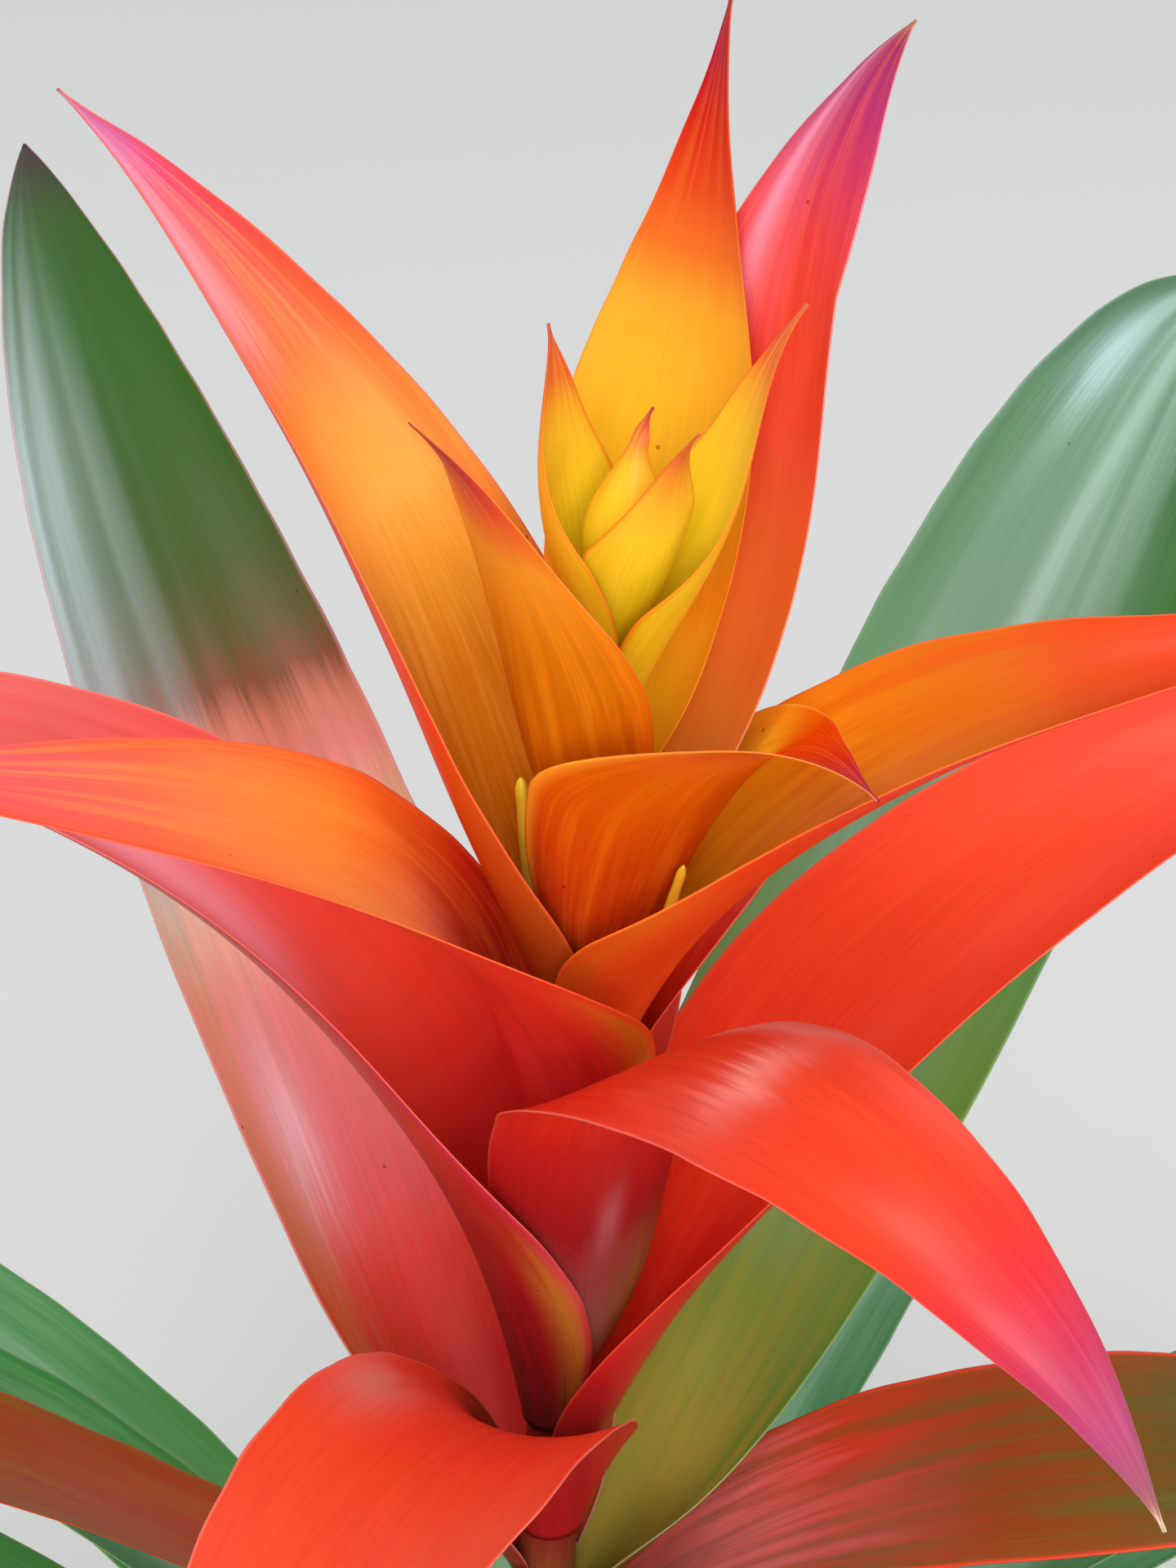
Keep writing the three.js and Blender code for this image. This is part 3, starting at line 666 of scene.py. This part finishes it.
left_brown = Blade(217, 194, 214, 38, (60, 19, 87, -1), 3, -5, 40, 0.49, "strap")
upper = blade_skin("left_brown_upper", left_brown, [
    (0.0, "7a3010"), (0.35, "a83814"), (0.52, "a23a10"), (0.7, "94400a"), (0.85, "70440c"), (1.0, "524a18"),
], "c8402c", 4.1, coat=0, gloss=0.03, streak_colour="a05c10", streak_amount=0.5, flank_colour="6c5c14",
    flank_amount=0.6)
under = blade_skin("left_brown_under", left_brown, [
    (0.0, "6a4a1c"), (0.4, "8a3420"), (0.8, "7a3a22"), (1.0, "5a4020"),
], "b8382a", 4.2, streak_colour="6a6a2a", streak_amount=0.4)
grow_bract("left_brown", left_brown, "brown", upper, under, 31)

right_brown = Blade(341, 206, 187, 42, (60, 42, 26, -10), 17, 29, -40, 0.41, "strap")
# The pale pink band near the root of the upper face is partly waxy bloom and partly painted sheen.
upper = blade_skin("right_brown_upper", right_brown, [
    (0.0, "f45a50"), (0.2, "fc7c78"), (0.28, "e4605a"), (0.36, "cc3a22"), (0.46, "a03c16"), (0.54, "8e3c14"),
    (0.62, "7c4418"), (0.7, "5c4a1a"), (0.85, "4c5a20"), (1.0, "44602a"),
], "e8402a", 5.1, drift=0.18, streak_colour="5e5a20", streak_amount=0.5, flank_colour="b4381f",
    flank_amount=0.3, margin_amount=0.8, margin_from=0.94, wax_colour="cc8e94", wax_amount=0.6,
    wax_across=0.34, wax_width=0.2, wax_from=0.0, wax_to=0.55)
under = blade_skin("right_brown_under", right_brown, [
    (0.0, "8a241a"), (0.4, "98301e"), (0.7, "6a4a20"), (1.0, "4a6028"),
], "d84a34", 5.2, streak_colour="6a5a24", streak_amount=0.5)
grow_bract("right_brown", right_brown, "brown", upper, under, 32)

# Green bracts. Two long strap-like ones at the back, still mostly leaf: flushed coral or olive at
# the root, then green, with pale bands between the darker veins that are partly waxy bloom and partly painted
# sheen.
right_green = Blade(50, 212, 294, 60, (60, 27, 89, -23), 20, 13, 55, 0.48, "strap", root_share=1)
# The pale bands on the upper face are partly waxy bloom and partly painted sheen.
# The small pale blue spot high on the upper face is a painted highlight.
upper = blade_skin("right_green_upper", right_green, [
    (0.0, "a8943a"), (0.12, "a89a3c"), (0.2, "8a9238"), (0.32, "78963a"), (0.46, "629a4a"), (0.58, "4c884a"),
    (0.66, "386c32"), (0.76, "285a26"), (1.0, "245222"),
], "9cb898", 6.1, drift=0.1, streak_colour="4c8034", margin_amount=0.3, flank_colour="689c34",
    flank_amount=0.7, flank_from=0.5, flank_to=0.5, wax_colour="a4c2b8", wax_amount=0.75, wax_across=0.66,
    wax_width=0.34, wax_from=0.22, wax_to=1.2, bloom_colour="b4d4dc", bloom_amount=0.45, bloom_along=0.85,
    bloom_length=0.04, bloom_across=0.78, bloom_width=0.1)
under = blade_skin("right_green_under", right_green, [
    (0.0, "8a5a28"), (0.2, "7a7a38"), (0.5, "5c8c48"), (1.0, "4a8450"),
], "b8ccb0", 6.2, streak_colour="86a878", streak_amount=0.4)
grow_bract("right_green", right_green, "green", upper, under, 33)

left_green = Blade(132, 223, 285, 60, (60, 41, 33, 23), -23, -6, 68, 0.2, "strap", hug=120)
# The pale bands up the green part of the upper face are partly waxy bloom and partly painted sheen.
# The pale pink patch low on the upper face is a painted highlight.
upper = blade_skin("left_green_upper", left_green, [
    (0.0, "b0241c"), (0.12, "bc2420"), (0.2, "d83a30"), (0.28, "e4686c"), (0.38, "ea8682"), (0.45, "f0b8a0"),
    (0.51, "e07c78"), (0.545, "c46e58"), (0.575, "7c4428"), (0.61, "565024"), (0.66, "3c5016"),
    (0.72, "2c540e"), (0.84, "2a581a"), (0.93, "305424"), (1.0, "42303a"),
], "d08a96", 7.1, drift=0.055, streak_colour="4a3a20", streak_amount=0.12, flank_colour="b89c48",
    flank_amount=0.4, flank_from=0.3, flank_to=0.58, wax_colour="b4c4c8", wax_amount=0.8, wax_across=0.9,
    wax_width=0.28, wax_from=0.38, wax_to=0.99, bloom_colour="f2c0cc", bloom_amount=0.7, bloom_along=0.3,
    bloom_length=0.06, bloom_across=0.78, bloom_width=0.09)
under = blade_skin("left_green_under", left_green, [
    (0.0, "a83a30"), (0.35, "c8604e"), (0.55, "a08048"), (0.7, "5a7038"), (1.0, "4a6a38"),
], "d88a90", 7.2, streak_colour="6a7a48", streak_amount=0.4)
grow_bract("left_green", left_green, "green", upper, under, 34)

# Right broad bract and front folded bract. Full scarlet flower bracts that arch out of the spike at
# half height; the front one folds over towards the viewer, and its outside is a dark wine red.
right_broad = Blade(7, 251, 239, 56, (74, 68, 50, -12), 9, 52, 103, 0.36, "lance")
upper = blade_skin("right_broad_upper", right_broad, [
    (0.0, "f03020"), (0.2, "fa3220"), (0.32, "f63e24"), (0.45, "f04626"), (0.6, "ef4b2e"), (0.75, "ec4636"),
    (0.93, "dc4c54"), (1.0, "a05a60"),
], "f8705a", 8.1, streak_colour="f65c2c")
under = blade_skin("right_broad_under", right_broad, [
    (0.0, "b03a3a"), (0.12, "c4242a"), (0.3, "d82020"), (0.6, "d42c20"), (1.0, "b8404a"),
], "e0482c", 8.2, streak_colour="d43420")
grow_bract("right_broad", right_broad, "red", upper, under, 35)

front_folded = Blade(256, 236, 213, 46, (80, 28, 25, -46), -10, -8, 72, 0.53, "blade")
# The dull pale patch at the crest of the upper face is a painted highlight.
upper = blade_skin("front_folded_upper", front_folded, [
    # The two dark stops at the root of the inner face are painted shade down in the fold.
    (0.0, "7c2018"), (0.12, "902418"), (0.2, "e8341e"), (0.36, "f43e28"), (0.44, "ee3e22"), (0.52, "e44220"),
    (0.62, "da4428"), (0.8, "d2442e"), (1.0, "c04050"),
], "f0806c", 9.1, streak_colour="ec5028", bloom_colour="cc8a80", bloom_amount=0.65, bloom_along=0.4,
    bloom_length=0.08, bloom_across=0.12, bloom_width=0.13)
under = blade_skin("front_folded_under", front_folded, [
    (0.0, "b81e20"), (0.2, "d2222a"), (0.5, "cc2228"), (1.0, "b83040"),
], "d03e38", 9.2, streak_colour="90181c", streak_amount=0.35)
grow_bract("front_folded", front_folded, "red", upper, under, 36)

# Left coral bract. Broad and softly cupped, coral pink out on its arch with a white sheen along
# its length, scarlet down in its sheath, and wine red outside with gold streaks at the foot.
left_coral = Blade(182, 261, 222, 60, (79, 67, 45, -42), -8, -12, 104, 0.2, "blade", root_share=1, hug=126)
# The white sheen along the arch of the upper face is painted into its colour as a pale band.
upper = blade_skin("left_coral_upper", left_coral, [
    (0.0, "c42420"), (0.2, "d62c30"), (0.3, "e03428"), (0.4, "ea4430"), (0.5, "ee4a3c"), (0.6, "ee5c56"),
    (0.7, "ce5852"), (0.85, "cc5050"), (1.0, "c04a66"),
], "f08a80", 10.1, streak_colour="d03a30", wax_colour="fcaabe", wax_amount=0.6, wax_across=0.62,
    wax_width=0.14, wax_from=0.4, wax_to=0.95)
under = blade_skin("left_coral_under", left_coral, [
    (0.0, "6c2426"), (0.12, "80181c"), (0.24, "a6121e"), (0.36, "d42424"), (0.5, "cc2a26"), (1.0, "b84050"),
], "c43048", 10.2, streak_colour="a01a1c", streak_amount=0.35, flank_colour="c89830", flank_amount=1.0,
    flank_from=0.64, flank_to=0.3, margin_amount=0.85, margin_from=0.87)
grow_bract("left_coral", left_coral, "red", upper, under, 37)

# Front arching bract. The showiest of the spike: it bends over in one smooth arch to the right,
# glossy orange red at the bend, magenta towards its cream needle tip, wine red outside its sheath.
front_arching = Blade(274, 275, 237, 35, (67, 107, 1, -62), 62, 36, -62, 0.4, "spear")
# The pale patch across the bend of the upper face is a painted highlight.
upper = blade_skin("front_arching_upper", front_arching, [
    (0.0, "a01c10"), (0.25, "c8301a"), (0.42, "d02812"), (0.52, "c82a14"), (0.6, "c6321e"), (0.68, "ce3010"),
    (0.76, "da3216"), (0.83, "c4242c"), (0.88, "ac2a4c"), (0.93, "9c3a66"), (0.97, "8a4a60"),
    (0.985, "906058"), (1.0, "efe2c0"),
], "f07a6c", 11.1, streak_colour="f05024", streak_amount=0.2, coat=0.2, bloom_colour="f6b4aa",
    bloom_amount=0.34, bloom_along=0.612, bloom_length=0.022, bloom_across=0.48, bloom_width=0.26)
# The soft pale patch on the outside of the sheath is a painted highlight.
under = blade_skin("front_arching_under", front_arching, [
    (0.0, "9a8050"), (0.06, "946050"), (0.12, "904444"), (0.19, "92191c"), (0.28, "ba1e1c"),
    (0.38, "ea321e"), (0.6, "d42c24"), (1.0, "a84468"),
], "e05a4a", 11.2, streak_colour="8a181a", streak_amount=0.25, flank_colour="98922c", flank_amount=0.9,
    flank_from=0.2, flank_to=0.22, bloom_colour="b87078", bloom_amount=0.5, bloom_along=0.2,
    bloom_length=0.04, bloom_across=0.64, bloom_width=0.06)
grow_bract("front_arching", front_arching, "red", upper, under, 38)

# Hidden back bracts. Two shorter ones behind the spike that close its spiral there, in the same
# scarlet as their neighbours.
back_lower = Blade(84, 297, 100, 27, (87, 40, -20, -60), 0, 0, 60, 0.45, "blade")
back_upper = Blade(62, 325, 86, 38, (88, 60, 0, -40), 0, 0, 30, 0.45, "blade")
upper = blade_skin("back_bract_upper", back_lower, [
    (0.0, "b02410"), (0.4, "d02c14"), (0.8, "e03e2c"), (0.95, "c04468"), (1.0, "8a5a50"),
], "f07858", 12.1, streak_colour="f07030")
under = blade_skin("back_bract_under", back_lower, [
    (0.0, "c83216"), (0.2, "e03c1c"), (0.7, "e8401e"), (1.0, "a84058"),
], "e8502c", 12.2, streak_colour="d84a28")
grow_bract("back_lower", back_lower, "red", upper, under, 39)
grow_bract("back_upper", back_upper, "red", upper, under, 40)

# Left golden bract. It swings out to the left in a long S, orange with gold along the middle and
# coral margins; its clasping sheath shows in front, red with gold streaks at its free margin.
left_golden = Blade(229, 310, 183, 57, (78, 80, 4, -7), -66, -16, 80, 0.25, "lance")
upper = blade_skin("left_golden_upper", left_golden, [
    (0.0, "7c1410"), (0.2, "a41c1a"), (0.32, "d43410"), (0.42, "ee6e1c"), (0.52, "ee8430"), (0.62, "f27238"),
    (0.7, "f35a3e"), (0.78, "f2504c"), (0.86, "ee4452"), (0.94, "e84a5c"), (1.0, "a04058"),
], "f0603c", 13.1, gloss=0.06, streak_colour="fa8c38", streak_amount=0.35, flank_colour="e0341c",
    flank_amount=0.7)
under = blade_skin("left_golden_under", left_golden, [
    (0.0, "b4641a"), (0.08, "cc2a1c"), (0.2, "e83434"), (0.28, "f0382a"), (0.4, "ee3a24"), (0.6, "dc3c28"),
    (1.0, "c84458"),
], "e03a20", 13.2, streak_colour="b01c14", streak_amount=0.35, flank_colour="e0a024", flank_amount=1.0,
    flank_from=0.62, flank_to=0.42, margin_amount=0.8, margin_from=0.94)
grow_bract("left_golden", left_golden, "orange", upper, under, 41)

# Right long bract. Orange, ribbed with darker veins, reaching straight out to the right.
# It deepens to red orange towards the tip and shows its outside only low in the sheath.
right_long = Blade(342, 339, 158, 55, (73, 62, 27, 6), 27, 25, 112, 0.21, "lance", hug=118)
upper = blade_skin("right_long_upper", right_long, [
    (0.0, "f8980c"), (0.2, "ffb00c"), (0.36, "ffa610"), (0.42, "f09412"), (0.48, "d47a12"), (0.56, "c86a12"),
    (0.63, "c46012"), (0.7, "c44614"), (0.8, "c83a16"), (0.93, "c83028"), (1.0, "a84a60"),
], "ee6a38", 14.1, streak_colour="cc440c", flank_colour="dc4412", flank_amount=0.4)
under = blade_skin("right_long_under", right_long, [
    (0.0, "d88620"), (0.1, "f0561c"), (0.22, "e25016"), (0.4, "e44016"), (1.0, "d04a50"),
], "ee6a30", 14.2, streak_colour="c83412", streak_amount=0.35, flank_colour="d88a20", flank_amount=0.7,
    flank_to=0.4)
grow_bract("right_long", right_long, "orange", upper, under, 42)

# Left tall bract. Deeply channelled and upright, amber in the axil, pale orange yellow at half
# length, then red orange and pink to a magenta tip with a dry point.
left_tall = Blade(158, 347, 171, 55, (67, 76, 49, 16), -19, -17, 137, 0.25, "lance", hug=132)
# The pale pink band towards the tip of the upper face is partly waxy bloom and partly painted sheen.
upper = blade_skin("left_tall_upper", left_tall, [
    (0.0, "b0560a"), (0.2, "d07408"), (0.34, "ce7816"), (0.43, "d88e2c"), (0.52, "f6a046"), (0.6, "f68e3e"),
    (0.68, "ee6236"), (0.76, "e04a40"), (0.85, "d2405c"), (0.92, "b2528e"), (0.97, "a84c84"),
    (1.0, "9a7a60"),
], "ea6a58", 15.1, drift=0.12, gloss=0.06, streak_colour="fcac48", streak_amount=0.25,
    flank_colour="e03a28", flank_amount=0.65, flank_from=0.5, wax_colour="fcb8c8", wax_amount=0.5,
    wax_across=0.74, wax_width=0.2, wax_from=0.62, wax_to=1.2)
under = blade_skin("left_tall_under", left_tall, [
    (0.0, "a8501c"), (0.12, "be5016"), (0.22, "cc4e12"), (0.32, "dc4a14"), (0.55, "e24a26"), (0.8, "dc4c52"),
    (1.0, "b04a70"),
], "ea5a34", 15.2, streak_colour="b8341a", flank_colour="b86a1c", flank_amount=0.6, flank_from=0.3,
    flank_to=0.4)
grow_bract("left_tall", left_tall, "orange", upper, under, 43)

# Front curled bract. A short broad hood in front of the heart: deep orange outside, golden along
# its rolled lip, with a magenta tip that curls over to the right.
front_curled = Blade(312, 358, 97, 56, (61, 92, 53, -6), -8, -15, 30, 0.42, "heart")
upper = blade_skin("front_curled_upper", front_curled, [
    (0.0, "d8901a"), (0.42, "ffe038"), (0.5, "f8b01e"), (0.58, "e46c08"), (0.66, "d83c00"), (0.76, "d83a08"),
    (0.86, "c02410"), (1.0, "7c1440"),
], "f4a04a", 16.1, coat=0, gloss=0, streak_colour="e8701c")
under = blade_skin("front_curled_under", front_curled, [
    (0.0, "a02c0c"), (0.18, "bc360e"), (0.3, "c44408"), (0.42, "ce5404"), (0.56, "d86006"), (0.66, "ee6a18"),
    (0.76, "ec5c1e"), (0.86, "da442c"), (0.94, "b83250"), (1.0, "8c2450"),
], "f4a02c", 16.2, streak_colour="ea8010", streak_amount=0.4, margin_amount=0.8, margin_from=0.88)
grow_bract("front_curled", front_curled, "orange", upper, under, 44)

# Upright bracts round the heart. A coral one with a pink and magenta end behind on the right, an
# orange one with a maroon tip in front on the left, and a golden one at the back with a red tip.
right_upright = Blade(41, 365, 153, 39, (69, 48, 144, 31), -3, -7, -50, 0.48, "blade")
# The pale pink band towards the end of the upper face is partly waxy bloom and partly painted sheen.
upper = blade_skin("right_upright_upper", right_upright, [
    (0.0, "ffa43c"), (0.22, "ffa23c"), (0.34, "ff8a38"), (0.46, "ff7c38"), (0.54, "fa643c"), (0.6, "e84e34"),
    (0.68, "de4028"), (0.76, "ce3432"), (0.84, "b02e54"), (0.92, "902860"), (0.97, "842850"),
    (1.0, "8a6a50"),
], "f4a0a8", 17.1, flesh=0.5, gloss=0.05, streak_colour="fe6c38", streak_amount=0.25, wax_colour="fcaac4",
    wax_amount=0.6, wax_across=0.78, wax_from=0.58, wax_to=1.15)
under = blade_skin("right_upright_under", right_upright, [
    (0.0, "e07024"), (0.4, "e8502a"), (0.75, "dc5068"), (1.0, "a0406a"),
], "f4a0a8", 17.2, streak_colour="e86a40")
grow_bract("right_upright", right_upright, "red", upper, under, 45)

front_upright = Blade(227, 379, 101, 40, (63, 85, 75, 47), -4, -6, 40, 0.41, "lance")
upper = blade_skin("front_upright_upper", front_upright, [
    (0.0, "d88a1a"), (0.5, "f0a028"), (0.75, "ec7a2c"), (0.9, "b83a3c"), (1.0, "7a2434"),
], "f08040", 18.1, streak_colour="f4b440")
under = blade_skin("front_upright_under", front_upright, [
    (0.0, "b05004"), (0.28, "be5c02"), (0.4, "c06804"), (0.52, "cc760a"), (0.6, "de8618"), (0.68, "e69426"),
    (0.74, "e0702a"), (0.8, "d4482c"), (0.89, "a82c34"), (1.0, "5a2430"),
], "e8541c", 18.2, streak_colour="f09014", streak_amount=0.35, flank_colour="e2600e", flank_amount=0.3)
grow_bract("front_upright", front_upright, "orange", upper, under, 46)

back_upright = Blade(76, 389, 126, 35, (61, 68, 93, 77), -11, -26, 40, 0.43, "heart")
upper = blade_skin("back_upright_upper", back_upright, [
    (0.0, "ecb61c"), (0.12, "f6bc1e"), (0.28, "f2981c"), (0.42, "e2b020"), (0.54, "e6a426"),
    (0.61, "e29826"), (0.68, "d6641e"), (0.76, "c83a12"), (0.84, "b8140c"), (0.92, "98062c"),
    (0.98, "801a38"), (1.0, "5a3034"),
], "ec6a30", 19.1, gloss=0.08, streak_colour="f6a430", streak_amount=0.12)
under = blade_skin("back_upright_under", back_upright, [
    (0.0, "d89a20"), (0.5, "ec9a2a"), (0.72, "e45a2a"), (0.9, "c03038"), (1.0, "5a3034"),
], "ec6a30", 19.2, streak_colour="f0aa3a")
grow_bract("back_upright", back_upright, "orange", upper, under, 47)

# Heart of the spike. Four small bracts still closed over the buds, lemon yellow and greenish at the
# root, with narrow orange red tips and thin red margins.
HEART_BLADES = {
    "right": Blade(10, 403, 76, 36, (87, 34, 118, 56), 1, 13, 65, 0.32, "heart"),
    "left": Blade(182, 410, 63, 32, (83, 45, 120, 78), -12, -31, 90, 0.45, "heart"),
    "front": Blade(299, 417, 50, 22, (80, 46, 113, 49), 10, 9, 60, 0.42, "heart"),
    "top": Blade(260, 423, 39, 20, (74, 59, 126, 148), -21, -18, 60, 0.53, "heart"),
}
heart_upper = blade_skin("heart_upper", HEART_BLADES["right"], [
    (0.0, "d8ba18"), (0.4, "e8d01e"), (0.52, "ecca26"), (0.62, "e8c02a"), (0.7, "e4b62a"), (0.78, "dc9828"),
    (0.86, "d0542c"), (1.0, "a82c3c"),
], "e2601c", 20.1, streak_colour="f8c834", margin_amount=0.7, margin_from=0.93)
heart_under = blade_skin("heart_under", HEART_BLADES["right"], [
    (0.0, "dcb81a"), (0.25, "e2c416"), (0.44, "eac822"), (0.56, "eec02a"), (0.68, "ecaa2a"),
    (0.78, "e28a28"), (0.87, "d4522c"), (1.0, "a82c3c"),
], "e2601c", 20.2, streak_colour="fad038", margin_amount=0.7, margin_from=0.93)
heart_top_under = blade_skin("heart_top_under", HEART_BLADES["top"], [
    (0.0, "dcb81a"), (0.44, "e8c822"), (0.6, "ecbe28"), (0.76, "e6a426"), (0.84, "dc7428"), (0.92, "bc3c2c"),
    (1.0, "8a2434"),
], "e2601c", 20.3, streak_colour="fad038", margin_amount=0.7, margin_from=0.93)
for number, (where, blade) in enumerate(HEART_BLADES.items()):
    under = heart_top_under if where == "top" else heart_under
    grow_blade("heart_blade_" + where, blade, SMALL_GRID, BRACT_THICKNESS, "bract_yellow",
               "heart_bract_" + where, heart_upper, under, 50 + number)

# Flowers. Slender waxy yellow tubes that stand in the axils of the upper bracts, still nearly shut:
# three petals joined for most of their length, with their tips just parting.
FLOWER_SWELL = [(0.0, 0.4), (0.04, 0.62), (0.12, 0.8), (0.25, 0.9), (0.4, 0.97), (0.6, 1.0), (0.74, 0.92),
                (0.82, 0.8), (0.88, 0.84), (0.94, 0.8), (0.98, 0.5), (1.0, 0.12)]
FLOWER_LOBE = 0.16
FLOWER_STEPS = 36
FLOWERS = {
    "flower_left": dict(azimuth=165, height=361, reach=8.9, length=30, radius=1.4, rise=82),
    "flower_right": dict(azimuth=321, height=362, reach=11.7, length=25, radius=1, rise=78),
    "flower_back": dict(azimuth=55, height=329, reach=7.5, length=24, radius=1.4, rise=67),
}
petal, tree, shader = new_material("yellow_petal")
fibre = cloudy(tree, own_place(tree), 1500.0, 2.0)
along = add_node(tree, "Attribute", {}, attribute_name="along").outputs["Fac"]
yellow = blend(tree, ease(tree, along, 0.1, 0.8), paint("b8b040"), paint("f0c830"))
tree.links.new(blend(tree, 0.2, yellow, fibre, "OVERLAY"), shader.inputs["Base Color"])
emboss(tree, shader, fibre, 0.2, 0.0002)
set_values(shader, {"Roughness": 0.42, "Subsurface Weight": 0.2, "Subsurface Scale": 0.0015})
for name, flower in FLOWERS.items():
    outline = [(0, 0)]
    for share, swell in FLOWER_SWELL:
        outline.append((flower["radius"] * swell, flower["length"] * share))
    outline.append((0, flower["length"]))
    tube = spun_mesh(outline, FLOWER_STEPS)
    along = tube.verts.layers.float.new("along")
    for vert in tube.verts:
        share = vert.co.z / MM / flower["length"]
        lobes = 1 - FLOWER_LOBE * share * (0.5 - 0.5 * math.cos(3 * math.atan2(vert.co.y, vert.co.x)))
        vert.co.x *= lobes
        vert.co.y *= lobes
        vert[along] = share
    lean = Matrix.Rotation(math.radians(90 - flower["rise"]), 4, "Y")
    foot = Matrix.Translation(Vector((flower["reach"], 0, flower["height"])) * MM)
    turn = Matrix.Rotation(math.radians(flower["azimuth"]), 4, "Z")
    bmesh.ops.transform(tube, matrix=turn @ foot @ lean, verts=tube.verts)
    tube = shape_piece(tube, "tube_" + name, "flower", name)
    tube.data.materials.append(petal)

# Studio. A plain pale floor under the pot, with soft lights from above and in front, and weaker
# ones from behind and from the right. Places and sizes are in metres, and power is in watts.
FLOOR_REACH = 6
SKY_STRENGTH = 0.7
PLANT_MIDDLE = (0, 0, 0.35)
floor_shape = bmesh.new()
bmesh.ops.create_grid(floor_shape, x_segments=1, y_segments=1, size=FLOOR_REACH)
floor_mesh = bpy.data.meshes.new("floor")
floor_shape.to_mesh(floor_mesh)
floor_shape.free()
floor = bpy.data.objects.new("floor", floor_mesh)
bpy.context.collection.objects.link(floor)
pale, tree, shader = new_material("pale_floor")
set_values(shader, {"Base Color": (0.64, 0.64, 0.63, 1), "Roughness": 0.9})
floor.data.materials.append(pale)

world = bpy.data.worlds.new("studio")
bpy.context.scene.world = world
world.use_nodes = True
set_values(world.node_tree.nodes["Background"], {"Color": (0.96, 0.98, 1.0, 1), "Strength": SKY_STRENGTH})


def soft_light(name, place, aim, size, power, colour):
    lamp = bpy.data.lights.new(name, "AREA")
    lamp.shape = "DISK"
    lamp.size = size
    lamp.energy = power
    lamp.color = colour
    light = bpy.data.objects.new(name, lamp)
    light.location = place
    light.rotation_euler = (Vector(aim) - Vector(place)).to_track_quat("-Z", "Y").to_euler()
    bpy.context.collection.objects.link(light)


soft_light("key_light", (-0.5, -0.7, 1.9), PLANT_MIDDLE, 0.9, 13, (1.0, 0.98, 0.95))
soft_light("front_light", (0.1, -1.5, 1.25), (0, 0, 0.33), 1.2, 22, (1.0, 0.98, 0.96))
soft_light("back_light", (0.5, 1.2, 1.5), PLANT_MIDDLE, 0.9, 4, (0.9, 0.95, 1.0))
soft_light("side_light", (1.5, -0.6, 0.9), PLANT_MIDDLE, 0.8, 5, (1.0, 0.98, 0.96))

# Camera. Close on the spike from the front and 35 degrees above it, rolled a little, with the lens
# that gives the photograph's perspective.
ELEVATION = math.radians(35)
ROLL = math.radians(4)
TARGET = Vector((0, 0, 0.393))
DISTANCE = 0.62
SIDESTEP = 0.00225
FOCAL_LENGTH = 93
SENSOR_WIDTH = 36
forward = Vector((0, math.cos(ELEVATION), -math.sin(ELEVATION)))
sideways = Vector((1, 0, 0))
upward = sideways.cross(forward)
right = sideways * math.cos(ROLL) + upward * math.sin(ROLL)
top = upward * math.cos(ROLL) - sideways * math.sin(ROLL)
lens = bpy.data.cameras.new("camera")
lens.lens = FOCAL_LENGTH
lens.sensor_width = SENSOR_WIDTH
lens.clip_start = 0.01
camera = bpy.data.objects.new("camera", lens)
turned = Matrix((right, top, -forward)).transposed().to_4x4()
camera.matrix_world = Matrix.Translation(TARGET - forward * DISTANCE - right * SIDESTEP) @ turned
bpy.context.collection.objects.link(camera)
bpy.context.scene.camera = camera
bpy.context.scene.view_settings.view_transform = "Standard"
